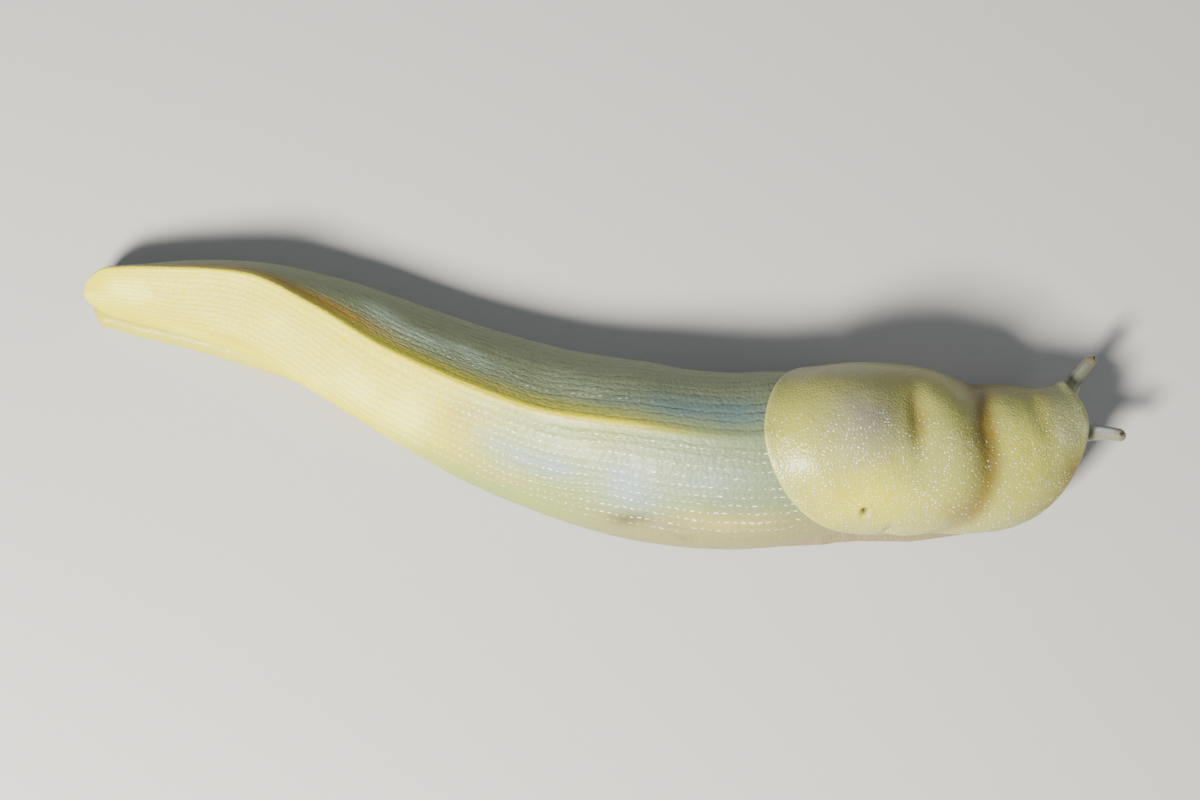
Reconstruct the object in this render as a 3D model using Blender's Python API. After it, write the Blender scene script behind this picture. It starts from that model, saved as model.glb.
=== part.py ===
"""A banana slug, life size and still, crawling on flat ground with its head half drawn in.

The body follows one bent spine on the ground. Every form is a loft of sections along that spine: the foot
with its fringe, the back with its keel, and the mantle, which lies over the front of the body as a shield.
Stations are lengths in millimetres along the spine, from the tip of the tail (0) to the front of the head.
Across a section, v runs from -1 in the groove above the foot on the right side, over the ridge of the back
at 0, to +1 in the groove on the left side.
"""

import math

import bmesh
import bpy
import numpy as np
from mathutils import Matrix, Vector

MM = 0.001
GAP = 0.3

# The spine, on the ground, seen from above: head towards +X, the animal's left side towards +Y.
SPINE_PLAN = (
    (-88, 19.4), (-66, 17.7), (-48, 12.8), (-25, 2.2), (0, -7),
    (23, -10.4), (43, -8.7), (58, -8.5), (69, -6.1), (81.5, -2.1),
)

# Where the body is parted into lengths.
TAIL_END = 36.0
REAR_END = 78.0
MIDDLE_END = 116.0
TRUNK_END = 142.0
NECK_END = 160.0
HEAD_FRONT = 173.0

# Profiles along the spine: (station, value).
FLANK_HALF = (
    (0, 2.0), (11, 4.8), (28, 7.5), (46, 10.2), (64, 12.1), (82, 13.7), (100, 14.7), (118, 14.5),
    (130, 13.3), (144, 12.3), (154, 10.0), (164, 7.0), (174, 5.5),
)
BACK_HEIGHT = (
    (0, 7.2), (11, 10.0), (28, 12.8), (46, 14.6), (73, 18.0), (100, 21.6), (118, 22.8), (128, 22.5),
    (136, 21.8), (145, 19.9), (156, 16.0), (165, 13.3), (174, 10.4),
)
RIDGE_LEAN = (
    (0, 3.8), (14, 3.5), (28, 4.0), (40, 1.9), (56, -0.5), (80, -0.9), (100, 0.7), (120, 0.2), (174, 0.0),
)
KEEL_SHARPNESS = ((0, 0.5), (12, 1.0), (60, 1.0), (90, 0.7), (118, 0.3), (135, 0.0), (174, 0.0))
FRINGE_HALF = (
    (1, 3.7), (11, 6.1), (28, 8.1), (46, 8.9), (64, 10.8), (91, 12.7), (118, 13.2),
    (130, 13.6), (142, 13.6), (153, 11.7), (163, 9.2), (174, 7.4),
)
SOLE_SPAN = (0.7, 173.6)

# The section of the back.
GROOVE_HEIGHT = 2.4
WIDEST_SHARE = 0.3
V_WIDEST = 0.75
UNDER_TUCK = 0.12
LEAN_POWER = 1.3
ROOF_POWER = 1.2
ROOF_ROOT = 0.75
SNOUT_POWER = 2.4
CREST_HEIGHT = 0.5
CREST_WIDTH = 0.9
TAIL_ROUNDING = (5.0, 5.2)
HEAD_ROUNDING = (7.0, 5.6)

# The right side of the neck swells where the head turns to the left: station, reach along, amount.
SHOULDER = (161.8, 10.7, 4.5)
SHOULDER_AT_FOOT = 0.55

# The rounded edge of the foot's fringe: (distance in from the edge, height), from the sole upwards.
FRINGE_EDGE = ((0.45, 0.0), (0.12, 0.22), (0.0, 0.55), (0.25, 0.95))
FRINGE_SHOULDER = (0.6, 1.3)
FOOT_SEAT_SHARE = 0.82
FOOT_SEAT_INSET = 0.7
FOOT_LEAST_HALF = 1.2
FOOT_END_THINNING = 0.4
FOOT_ROUNDING = (2.4, 7.0)

# The mantle: how far its outside stands off the body's, at the sides and on top.
MANTLE_SIDE = ((112, 1.0), (126, 1.0), (144, 1.5), (160, 1.6), (174, 1.4))
MANTLE_RISE = ((112, 1.0), (126, 2.3), (136, 3.4), (145, 3.6), (156, 3.4), (165, 2.9), (174, 2.0))
MANTLE_REAR = 118.9
MANTLE_REAR_SWEEP = 16.5
MANTLE_REAR_POWER = 1.7
MANTLE_FRONT = 173.6
MANTLE_FRONT_SWEEP = (15.1, 6.75)
MANTLE_FRONT_POWER = 2.1
MANTLE_CORNER_SWEEP = 3.5
MANTLE_CORNER_POWER = 9.0
MANTLE_MARGIN_V = 0.85
MANTLE_RIM = 1.0
MANTLE_RAMP = 7.0
MANTLE_CLEARANCE = 0.4
EDGE_ROUND = 1.2
EDGE_THINNING = 0.3
EDGE_STEPS = (0.0, 0.25, 0.7, 1.4)
SIDE_STEPS = (0.0, 0.02)
MARGIN_GIRTH = 26.0

# Swellings and hollows of the mantle: station, v, reach along, reach across, and height, negative if hollow.
MANTLE_FOLDS = (
    (135.0, 0.02, 7.0, 0.28, 0.8),
    (142.7, 0.07, 2.0, 0.20, -1.7),
    (149.0, 0.00, 3.2, 0.45, 0.6),
    (168.6, 0.70, 3.05, 0.24, -1.35),
    (172.35, 0.44, 1.25, 0.14, 1.1),
)

# The fold across the mantle, where its front part is parted off: its station, and its sweep right and left.
CROSS_FOLD = 155.5
CROSS_FOLD_SWEEP = (-12.0, 3.0)
CROSS_FOLD_REACH = 2.5
CROSS_FOLD_POWER = 1.8
CROSS_FOLD_DEPTH = -1.45
CROSS_FOLD_FADE = 0.8

# A faint crease on the hood: station, v, reach along, reach across, height.
HOOD_CREASE = (164.8, 0.1, 1.6, 0.4, -0.4)

# The breathing pore, on the right side of the mantle, and the notch in the mantle's edge below it.
PORE_STATION = 135.0
PORE_V = -0.49
PORE_RADII = (1.5, 1.0, 0.9)
NOTCH_STATION = 138.5
NOTCH_RADII = (1.2, 0.9, 1.0)

# Upper feelers: root (station, across, height), turn from the head's heading, rise, length.
OPTIC_LEFT = ((172.0, 3.3, 7.6), 36.0, 13.0, 8.9)
OPTIC_RIGHT = ((171.0, -2.2, 7.6), -25.0, 13.0, 9.0)
OPTIC_RADII = (1.45, 1.5, 1.5, 1.35, 1.18, 1.12, 1.05)
EYE_RADIUS = 0.32
EYE_GAP = 0.1
EYE_LEANS = {"left": 32.0, "right": 73.0}
EYE_SINK = 0.08

# The round tip of every feeler: (share of its length, share of its last radius).
TUBE_TIP_START = 0.885
TUBE_TIP = ((0.943, 0.87), (0.985, 0.5), (1.0, 0.12))
TUBE_RINGS = 3

# Lower feelers, beside the mouth.
ORAL_LEFT = ((170.6, 2.7, 4.9), 20.0, -10.0, 4.0)
ORAL_RIGHT = ((170.6, -2.7, 4.9), -20.0, -10.0, 4.0)
ORAL_RADII = (0.75, 0.72, 0.65, 0.6, 0.5)

# The mouth: two lips, an upright slit between them and a short cross slit over it.
MOUTH_STATION = 173.0
MOUTH_HEIGHT = 4.6
LIP_RADII = (0.75, 1.35, 1.3)
LIP_OFFSET = 1.15
MOUTH_UPRIGHT = (1.6, 0.26, 1.1)
MOUTH_CROSS = (1.4, 1.5, 0.26)
MOUTH_CROSS_RISE = 0.9
LIP_SINK = 0.5

COLOURS = {
    "skin": (0.78, 0.74, 0.36),
    "foot": (0.76, 0.70, 0.40),
    "mantle": (0.74, 0.70, 0.32),
    "feeler": (0.72, 0.70, 0.46),
    "eye": (0.01, 0.01, 0.01),
}
ROUGHNESS = {"skin": 0.35, "foot": 0.4, "mantle": 0.4, "feeler": 0.3, "eye": 0.08}

# How finely the forms are divided.
RING_POINTS = 33
MANTLE_POINTS = 27
SECTION_STEP = 3.4
SHIELD_RINGS = 17
HOOD_RINGS = 11
BALL_SEGMENTS = (14, 8)
SHARP_EDGE = 50.0
WELD = 0.00001

# Steps along and across for finding a surface's slopes.
STEP_S = 0.05
STEP_V = 0.002


def profile(stations, s):
    """Value at s of a smooth curve through (station, value) pairs, with no overshoot between them."""
    place, value = np.array(stations, float).T
    slope = np.diff(value) / np.diff(place)
    product = slope[:-1] * slope[1:]
    total = slope[:-1] + slope[1:]
    inner = np.where(product > 0, 2 * product / np.where(total == 0, 1, total), 0)
    tangent = np.concatenate([slope[:1], inner, slope[-1:]])
    s = np.asarray(s, float)
    i = np.clip(np.searchsorted(place, s, side="right") - 1, 0, len(slope) - 1)
    span = place[i + 1] - place[i]
    u = np.clip((s - place[i]) / span, 0, 1)
    return (
        value[i] * (1 + 2 * u) * (1 - u) ** 2
        + value[i + 1] * u**2 * (3 - 2 * u)
        + span * (tangent[i] * u * (1 - u) ** 2 - tangent[i + 1] * u**2 * (1 - u))
    )


def spline_bends(knots, values):
    """Second derivatives at the knots of the natural cubic spline through the values."""
    span = np.diff(knots)
    count = len(knots)
    system = np.eye(count)
    target = np.zeros(count)
    for i in range(1, count - 1):
        system[i, i - 1 : i + 2] = span[i - 1], 2 * (span[i - 1] + span[i]), span[i]
        target[i] = 6 * ((values[i + 1] - values[i]) / span[i] - (values[i] - values[i - 1]) / span[i - 1])
    return np.linalg.solve(system, target)


PLAN = np.array(SPINE_PLAN, float)
KNOTS = np.concatenate([[0], np.cumsum(np.hypot(*np.diff(PLAN, axis=0).T))])
BENDS = np.stack([spline_bends(KNOTS, PLAN[:, axis]) for axis in range(2)], axis=1)


def spine(s):
    """Place and unit heading of the spine at stations s, which may pass its ends in a straight line."""
    s = np.asarray(s, float)
    inside = np.clip(s, KNOTS[0], KNOTS[-1])
    i = np.clip(np.searchsorted(KNOTS, inside, side="right") - 1, 0, len(KNOTS) - 2)
    span = (KNOTS[i + 1] - KNOTS[i])[..., None]
    b = (inside - KNOTS[i])[..., None] / span
    a = 1 - b
    place = a * PLAN[i] + b * PLAN[i + 1] + ((a**3 - a) * BENDS[i] + (b**3 - b) * BENDS[i + 1]) * span**2 / 6
    heading = (PLAN[i + 1] - PLAN[i]) / span
    heading = heading + ((3 * b**2 - 1) * BENDS[i + 1] - (3 * a**2 - 1) * BENDS[i]) * span / 6
    heading = heading / np.linalg.norm(heading, axis=-1, keepdims=True)
    return place + heading * (s - inside)[..., None], heading


def to_world(s, across, height):
    """Points in millimetres: a length along the spine, a distance to the animal's left, and a height."""
    place, heading = spine(s)
    s, across, height = np.broadcast_arrays(s, across, height)
    left = np.stack([-heading[..., 1], heading[..., 0]], axis=-1)
    flat = place + left * across[..., None]
    return np.concatenate([flat, height[..., None]], axis=-1)


def end_rounding(s):
    """How far the section at s is drawn in near either end, and the height it is drawn to."""
    tail_reach, tail_height = TAIL_ROUNDING
    head_reach, head_height = HEAD_ROUNDING
    tail = np.clip(1 - s / tail_reach, 0, 1)
    head = np.clip((s - (HEAD_FRONT - head_reach)) / head_reach, 0, 1)
    snout = np.clip(1 - head**SNOUT_POWER, 0, 1) ** (1 / SNOUT_POWER)
    share = np.sqrt(np.clip(1 - tail**2, 0, 1)) * snout
    return share, np.where(head > 0, head_height, tail_height)


def shoulder(s, v):
    """How far the right side swells outwards at station s and section place v."""
    station, reach, amount = SHOULDER
    return np.where(v < 0, amount * np.exp(-(((s - station) / reach) ** 2)), 0.0)


def domed_section(half, top, sharpness, v):
    """Across and height of an arch: rounded, gabled where sharpness is 1, tucked in under its widest."""
    side = np.abs(v)
    widest = GROOVE_HEIGHT + WIDEST_SHARE * (top - GROOVE_HEIGHT)
    turn = np.clip(side / V_WIDEST, 0, 1) * math.pi / 2
    under = np.clip((side - V_WIDEST) / (1 - V_WIDEST), 0, 1) * math.pi / 2
    gable = (1 - np.sin(turn) ** ROOF_POWER).clip(0) ** ROOF_ROOT
    crown = (1 - sharpness) * np.cos(turn) + sharpness * gable
    upper = widest + (top - widest) * crown
    height = np.where(side <= V_WIDEST, upper, widest - (widest - GROOVE_HEIGHT) * np.sin(under))
    across = half * (np.sin(turn) - UNDER_TUCK * (1 - np.cos(under)))
    return np.sign(v) * across, height


def core_local(s, v):
    """Across and height of the back's surface at station s and section place v, as if it had no ends."""
    half = profile(FLANK_HALF, s) + shoulder(s, v)
    top = profile(BACK_HEIGHT, s)
    sharpness = profile(KEEL_SHARPNESS, s)
    across, height = domed_section(half, top, sharpness, v)
    rise = ((height - GROOVE_HEIGHT) / (top - GROOVE_HEIGHT)).clip(0)
    height = height + CREST_HEIGHT * sharpness * np.exp(-((across / CREST_WIDTH) ** 2))
    return across + profile(RIDGE_LEAN, s) * rise**LEAN_POWER, height


def body_surface(s, v):
    """The back's surface, rounded off at the tip of the tail and at the snout."""
    s, v = np.broadcast_arrays(np.asarray(s, float), np.asarray(v, float))
    across, height = core_local(s, v)
    share, centre = end_rounding(s)
    return to_world(s, across * share, centre + (height - centre) * share)


def core_surface(s, v):
    """The back's surface as if it had no ends."""
    return to_world(s, *core_local(s, v))


def surface_normals(surface, s, v):
    """Unit normals of surface(s, v), outwards, from its slopes along and across."""
    along = surface(s + STEP_S, v) - surface(s - STEP_S, v)
    across = surface(s, v + STEP_V) - surface(s, v - STEP_V)
    normal = np.cross(along, across)
    return normal / np.linalg.norm(normal, axis=-1, keepdims=True)


def fold_line(v):
    """Station of the fold across the mantle, at section place v."""
    right, left = CROSS_FOLD_SWEEP
    return CROSS_FOLD + np.where(v < 0, right * np.abs(v) ** CROSS_FOLD_POWER, left * np.abs(v))


def before_fold(v):
    """Station of the shield's front end."""
    return fold_line(v) - GAP / 2


def after_fold(v):
    """Station of the hood's rear end."""
    return fold_line(v) + GAP / 2


def mantle_folds(s, v):
    """Height of the mantle's swellings and folds above its plain arch."""
    rise = CROSS_FOLD_DEPTH * np.exp(-(((s - fold_line(v)) / CROSS_FOLD_REACH) ** 2))
    rise = rise * (1 - CROSS_FOLD_FADE * np.abs(v))
    for station, place, along, across, height in (*MANTLE_FOLDS, HOOD_CREASE):
        rise = rise + height * np.exp(-(((s - station) / along) ** 2) - ((v - place) / across) ** 2)
    return rise


def mantle_rear(v):
    """Station of the mantle's rear edge, which turns in sharply at its corners."""
    out = np.abs(v / MANTLE_MARGIN_V)
    corner = MANTLE_CORNER_SWEEP * out**MANTLE_CORNER_POWER
    return MANTLE_REAR + MANTLE_REAR_SWEEP * out**MANTLE_REAR_POWER + corner


def mantle_front(v):
    """Station of the mantle's front edge, which turns in sharply at its corners."""
    out = np.abs(v / MANTLE_MARGIN_V)
    corner = MANTLE_CORNER_SWEEP * out**MANTLE_CORNER_POWER
    right, left = MANTLE_FRONT_SWEEP
    return MANTLE_FRONT - np.where(v < 0, right, left) * out**MANTLE_FRONT_POWER - corner


def mantle_arch(s, v):
    """The plain arch of the mantle, without its folds."""
    half = profile(FLANK_HALF, s) + profile(MANTLE_SIDE, s) + shoulder(s, v)
    top = profile(BACK_HEIGHT, s) + profile(MANTLE_RISE, s)
    return to_world(s, *domed_section(half, top, 0.0, v))


def mantle_outside(s, v):
    """The mantle's outer surface: the body's own, raised by the rim, swelling to the mantle's arch."""
    s, v = np.broadcast_arrays(np.asarray(s, float), np.asarray(v, float))
    arch = mantle_arch(s, v) + surface_normals(mantle_arch, s, v) * mantle_folds(s, v)[..., None]
    seated = core_surface(s, v) + MANTLE_RIM * surface_normals(core_surface, s, v)
    part = np.clip((s - mantle_rear(v)) / MANTLE_RAMP, 0, 1)
    part = (part * part * (3 - 2 * part))[..., None]
    return seated * (1 - part) + arch * part


def mantle_inside(s, v):
    """The mantle's inner surface, just clear of the body that it lies on."""
    s, v = np.broadcast_arrays(np.asarray(s, float), np.asarray(v, float))
    return core_surface(s, v) + MANTLE_CLEARANCE * surface_normals(core_surface, s, v)


def new_object(name, mesh, finish):
    """A part of the animal, shaded smooth, with its finish."""
    obj = bpy.data.objects.new(name, mesh)
    PARTS.objects.link(obj)
    mesh.materials.clear()
    mesh.materials.append(FINISHES[finish])
    mesh.shade_smooth()
    mesh.set_sharp_from_angle(angle=math.radians(SHARP_EDGE))
    return obj


def mesh_from_rings(name, rings, shell=False):
    """A mesh through closed rings of points in millimetres, its ends flat faces, or strips on a shell."""
    rings = np.asarray(rings, float)
    count, size = rings.shape[:2]
    corner = np.arange(size)
    after = np.roll(corner, -1)
    faces = []
    for ring in range(count - 1):
        low, high = ring * size, (ring + 1) * size
        faces += np.stack([low + corner, low + after, high + after, high + corner], axis=1).tolist()
    for end in (corner, corner + (count - 1) * size):
        if shell:
            near, far = end[: size // 2], end[::-1][: size // 2]
            faces += np.stack([near[:-1], near[1:], far[1:], far[:-1]], axis=1).tolist()
        else:
            faces.append(end.tolist())
    mesh = bpy.data.meshes.new(name)
    mesh.from_pydata((rings.reshape(-1, 3) * MM).tolist(), [], faces)
    form = bmesh.new()
    form.from_mesh(mesh)
    bmesh.ops.recalc_face_normals(form, faces=form.faces)
    form.to_mesh(mesh)
    form.free()
    mesh.validate()
    return mesh


def stations_between(start, end, step=SECTION_STEP):
    """Even stations from start to end, about a step apart."""
    return np.linspace(start, end, max(2, round((end - start) / step) + 1))


def rounded_stations(start, end, reach, at_start, count=7):
    """Stations that crowd towards a rounded end, then run on evenly to the other end."""
    bow = np.linspace(0, 1, count)[1:] ** 2 * reach
    if at_start:
        return np.concatenate([start + bow, stations_between(start + reach, end)[1:]])
    return np.concatenate([stations_between(start, end - reach)[:-1], (end - bow)[::-1]])


def build_back_length(name, stations):
    """One length of the back: an arch over the flat floor of the groove above the foot."""
    v = np.linspace(-1, 1, RING_POINTS)
    rings = body_surface(stations[:, None], v[None, :])
    return new_object(name, mesh_from_rings(name, rings), "skin")


def build_foot_length(name, stations):
    """One length of the foot: a flat sole, a thin rounded fringe, and a seat under the groove."""
    start, end = SOLE_SPAN
    tail_reach, head_reach = FOOT_ROUNDING
    tail = np.clip(1 - (stations - start) / tail_reach, 0, 1)
    head = np.clip(1 - (end - stations) / head_reach, 0, 1)
    share = np.sqrt(1 - tail**2) * np.sqrt(1 - head**2)
    fringe = np.maximum(profile(FRINGE_HALF, stations) * share, FOOT_LEAST_HALF)
    seat = np.minimum(fringe - FOOT_SEAT_INSET, FOOT_SEAT_SHARE * fringe)
    side = [(fringe - inset, height) for inset, height in FRINGE_EDGE]
    outward, height = FRINGE_SHOULDER
    side.append((outward * fringe + (1 - outward) * seat, height))
    side.append((seat, GROOVE_HEIGHT - GAP))
    swell = SHOULDER_AT_FOOT * shoulder(stations, -1.0) * share
    right = [-place - swell for place, _ in side]
    left = [place for place, _ in reversed(side)]
    across = np.stack(right + left, axis=1)
    height = np.array([up for _, up in side] + [up for _, up in reversed(side)])
    height = height * (FOOT_END_THINNING + (1 - FOOT_END_THINNING) * share)[:, None]
    rings = to_world(stations[:, None], across, height)
    return new_object(name, mesh_from_rings(name, rings), "foot")


def edge_fullness(distance):
    """Share of the mantle's thickness at a distance from its free edge, which is rounded."""
    return np.sqrt(1 - (1 - EDGE_THINNING**2) * np.clip(1 - distance / EDGE_ROUND, 0, 1) ** 2)


def build_mantle_length(name, start_of, end_of, steps, free_start):
    """One length of the mantle: an arched shell with rounded free edges, at its sides and at one end."""
    inner_v = np.linspace(-MANTLE_MARGIN_V, MANTLE_MARGIN_V, MANTLE_POINTS)
    side_steps = MANTLE_MARGIN_V - np.array(SIDE_STEPS)
    v = np.concatenate([-side_steps, inner_v[1:-1], side_steps[::-1]])
    even = np.linspace(0, 1, steps)
    start, end = start_of(v), end_of(v)
    edge_steps = np.array(EDGE_STEPS) / np.mean(end - start)
    share = np.concatenate([edge_steps, even[1:]] if free_start else [even[:-1], 1 - edge_steps[::-1]])
    s = start * (1 - share[:, None]) + end * share[:, None]
    grid = np.broadcast_to(v, s.shape)
    outside = mantle_outside(s, grid)
    inside = mantle_inside(s, grid)
    along = s - start if free_start else end - s
    across = (MANTLE_MARGIN_V - np.abs(grid)) * MARGIN_GIRTH
    fullness = edge_fullness(along) * edge_fullness(across)
    outside = inside + (outside - inside) * fullness[..., None]
    rings = np.concatenate([outside, inside[:, ::-1]], axis=1)
    return new_object(name, mesh_from_rings(name, rings, shell=True), "mantle")


def build_tube(name, start, direction, length, radii, finish):
    """A feeler: a tapering tube with a blunt tip, from start along direction."""
    curve = bpy.data.curves.new(name, "CURVE")
    curve.dimensions = "3D"
    curve.bevel_depth = 1.0 * MM
    curve.bevel_resolution = TUBE_RINGS
    curve.use_fill_caps = True
    spline = curve.splines.new("POLY")
    shares = [*np.linspace(0, TUBE_TIP_START, len(radii)), *(share for share, _ in TUBE_TIP)]
    widths = [*radii, *(radii[-1] * width for _, width in TUBE_TIP)]
    spline.points.add(len(shares) - 1)
    for point, share, width in zip(spline.points, shares, widths):
        place = Vector(start) + Vector(direction) * length * share
        point.co = (*(place * MM), 1)
        point.radius = width
    guide = bpy.data.objects.new(name + "_curve", curve)
    PARTS.objects.link(guide)
    bpy.context.view_layer.update()
    mesh = bpy.data.meshes.new_from_object(guide.evaluated_get(bpy.context.evaluated_depsgraph_get()))
    form = bmesh.new()
    form.from_mesh(mesh)
    bmesh.ops.remove_doubles(form, verts=form.verts, dist=WELD)
    bmesh.ops.recalc_face_normals(form, faces=form.faces)
    form.to_mesh(mesh)
    form.free()
    bpy.data.objects.remove(guide)
    mesh.name = name
    return new_object(name, mesh, finish)


def ellipsoid(name, centre, radii, heading, collection, finish=None):
    """A ball stretched to three radii: along the heading, across it, and upwards."""
    mesh = bpy.data.meshes.new(name)
    form = bmesh.new()
    turn = Matrix.Rotation(math.atan2(heading[1], heading[0]), 4, "Z")
    size = Matrix.Diagonal((*(Vector(radii) * MM), 1))
    place = Matrix.Translation(Vector(centre) * MM)
    around, upwards = BALL_SEGMENTS
    matrix = place @ turn @ size
    bmesh.ops.create_uvsphere(form, u_segments=around, v_segments=upwards, radius=1, matrix=matrix)
    form.to_mesh(mesh)
    form.free()
    if finish:
        return new_object(name, mesh, finish)
    obj = bpy.data.objects.new(name, mesh)
    collection.objects.link(obj)
    return obj


def combine(target, helpers, operation):
    """Joins every helper's shape to the target, or takes it out."""
    for helper in helpers:
        step = target.modifiers.new(operation.lower(), "BOOLEAN")
        step.operation = operation
        step.solver = "EXACT"
        step.object = helper
        helper.hide_render = True
        helper.display_type = "WIRE"


def head_direction(turn, rise):
    """Unit vector at an angle from the head's own heading, to its left, and above the level."""
    _, heading = spine(MOUTH_STATION)
    angle = math.atan2(heading[1], heading[0]) + math.radians(turn)
    lift = math.radians(rise)
    return np.array([math.cos(angle) * math.cos(lift), math.sin(angle) * math.cos(lift), math.sin(lift)])


def build_feeler(name, around, placing, radii):
    """One feeler, rooted in a socket cut in the parts around it; returns it, its tip and its direction."""
    place, turn, rise, length = placing
    root = to_world(*place)
    way = head_direction(turn, rise)
    feeler = build_tube(name, root, way, length, radii, "feeler")
    wider = [radius + GAP for radius in radii]
    socket = build_tube(name + "_socket", root - way * GAP, way, length, wider, "feeler")
    CUTTERS.objects.link(socket)
    PARTS.objects.unlink(socket)
    for part in around:
        combine(part, [socket], "DIFFERENCE")
    return feeler, root + way * length, way


def build_feelers(head, hood):
    """Both pairs of feelers, and an eye on the round tip of each upper one, leaning up from its end."""
    for side, placing in (("left", OPTIC_LEFT), ("right", OPTIC_RIGHT)):
        feeler, tip, way = build_feeler(f"optic_tentacle_{side}", (head, hood), placing, OPTIC_RADII)
        up = np.cross(np.cross(way, (0, 0, 1)), way)
        up = up / np.linalg.norm(up)
        lean = math.radians(EYE_LEANS[side])
        out = way * math.cos(lean) + up * math.sin(lean)
        seat = tip - way * OPTIC_RADII[-1] + out * (OPTIC_RADII[-1] - EYE_SINK)
        ellipsoid(f"eye_{side}", seat, (EYE_RADIUS,) * 3, way, PARTS, "eye")
        hollow = ellipsoid(f"eye_seat_{side}", seat, (EYE_RADIUS + EYE_GAP,) * 3, way, CUTTERS)
        combine(feeler, [hollow], "DIFFERENCE")
    for side, placing in (("left", ORAL_LEFT), ("right", ORAL_RIGHT)):
        build_feeler(f"oral_tentacle_{side}", (head,), placing, ORAL_RADII)


def build_mouth(head):
    """The mouth: lips on either side of an upright slit, under a short cross slit."""
    _, heading = spine(MOUTH_STATION)
    lips = []
    for side, offset in (("left", LIP_OFFSET), ("right", -LIP_OFFSET)):
        place = to_world(MOUTH_STATION - LIP_SINK, offset, MOUTH_HEIGHT)
        lips.append(ellipsoid(f"lip_{side}", place, LIP_RADII, heading, CUTTERS))
    combine(head, lips, "UNION")
    centre = to_world(MOUTH_STATION, 0.0, MOUTH_HEIGHT)
    above = centre + np.array([0, 0, MOUTH_CROSS_RISE])
    slits = [
        ellipsoid("mouth_upright", centre, MOUTH_UPRIGHT, heading, CUTTERS),
        ellipsoid("mouth_cross", above, MOUTH_CROSS, heading, CUTTERS),
    ]
    combine(head, slits, "DIFFERENCE")


def build_pore(mantle):
    """The breathing pore, a shallow hollow on the right, and the notch in the mantle's edge below it."""
    _, heading = spine(PORE_STATION)
    pore = mantle_outside(np.array([PORE_STATION]), np.array([PORE_V]))[0]
    notch = mantle_outside(np.array([NOTCH_STATION]), np.array([-MANTLE_MARGIN_V]))[0]
    hollows = [
        ellipsoid("pore_hollow", pore, PORE_RADII, heading, CUTTERS),
        ellipsoid("edge_notch", notch, NOTCH_RADII, heading, CUTTERS),
    ]
    combine(mantle, hollows, "DIFFERENCE")


def build_body():
    """The lengths of the back and of the foot, from the tail to the head; returns the head."""
    half_gap = GAP / 2
    build_back_length("tail", rounded_stations(0.0, TAIL_END - half_gap, TAIL_ROUNDING[0], True))
    lengths = (("back_rear", TAIL_END, REAR_END), ("back_middle", REAR_END, MIDDLE_END))
    lengths += (("trunk_front", MIDDLE_END, TRUNK_END), ("neck", TRUNK_END, NECK_END))
    for name, start, end in lengths:
        build_back_length(name, stations_between(start + half_gap, end - half_gap))
    head_stations = rounded_stations(NECK_END + half_gap, HEAD_FRONT, HEAD_ROUNDING[0], False)
    head = build_back_length("head", head_stations)

    sole_start, sole_end = SOLE_SPAN
    tail_reach, head_reach = FOOT_ROUNDING
    build_foot_length("foot_tail", rounded_stations(sole_start, TAIL_END - half_gap, tail_reach, True, 5))
    for name, start, end in (("foot_rear", TAIL_END, REAR_END), ("foot_middle", REAR_END, MIDDLE_END)):
        build_foot_length(name, stations_between(start + half_gap, end - half_gap))
    build_foot_length("foot_front", rounded_stations(MIDDLE_END + half_gap, sole_end, head_reach, False, 6))
    return head


def build_mantle():
    """The shield and, in front of the fold across it, the hood over the head."""
    shield = build_mantle_length("mantle_shield", mantle_rear, before_fold, SHIELD_RINGS, True)
    hood = build_mantle_length("mantle_hood", after_fold, mantle_front, HOOD_RINGS, False)
    build_pore(shield)
    return hood


def stand_at_origin():
    """Moves all to stand on the ground with the origin under the middle of its box."""
    bpy.context.view_layer.update()
    graph = bpy.context.evaluated_depsgraph_get()
    shapes = [obj.evaluated_get(graph) for obj in PARTS.objects]
    corners = [shape.matrix_world @ Vector(corner) for shape in shapes for corner in shape.bound_box]
    low = Vector(map(min, zip(*corners)))
    high = Vector(map(max, zip(*corners)))
    shift = Vector(((low.x + high.x) / 2, (low.y + high.y) / 2, low.z))
    for obj in (*PARTS.objects, *CUTTERS.objects):
        obj.location -= shift


def make_finish(name):
    """A material with the part's own colour and roughness."""
    material = bpy.data.materials.new(name)
    material.use_nodes = True
    shader = material.node_tree.nodes["Principled BSDF"]
    shader.inputs["Base Color"].default_value = (*COLOURS[name], 1)
    shader.inputs["Roughness"].default_value = ROUGHNESS[name]
    shader.inputs["Metallic"].default_value = 0.0
    material.diffuse_color = (*COLOURS[name], 1)
    return material


for old in list(bpy.data.objects):
    bpy.data.objects.remove(old)
PARTS = bpy.data.collections.new("banana_slug")
CUTTERS = bpy.data.collections.new("cutters")
bpy.context.scene.collection.children.link(PARTS)
bpy.context.scene.collection.children.link(CUTTERS)
FINISHES = {name: make_finish(name) for name in COLOURS}

HEAD = build_body()
HOOD = build_mantle()
build_mouth(HEAD)
build_feelers(HEAD, HOOD)
stand_at_origin()
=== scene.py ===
"""The looks of a life-size banana slug, crawling over flat ground with its head half drawn in.

Every shape is worked out in millimetres along one bent spine. A station is a length along the spine from the
tip of the tail. Across a section, v runs from -1 in the groove above the foot on the right side, over the
ridge of the back at 0, to +1 in the groove on the left side. The flesh is one skin: the body with its foot,
the mantle that lies over its front, and the feelers, in patches of one mesh. The two eyes are pieces of
their own.
"""

import logging
import math
from collections.abc import Callable
from dataclasses import dataclass, field
from enum import Enum, IntEnum

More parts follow.
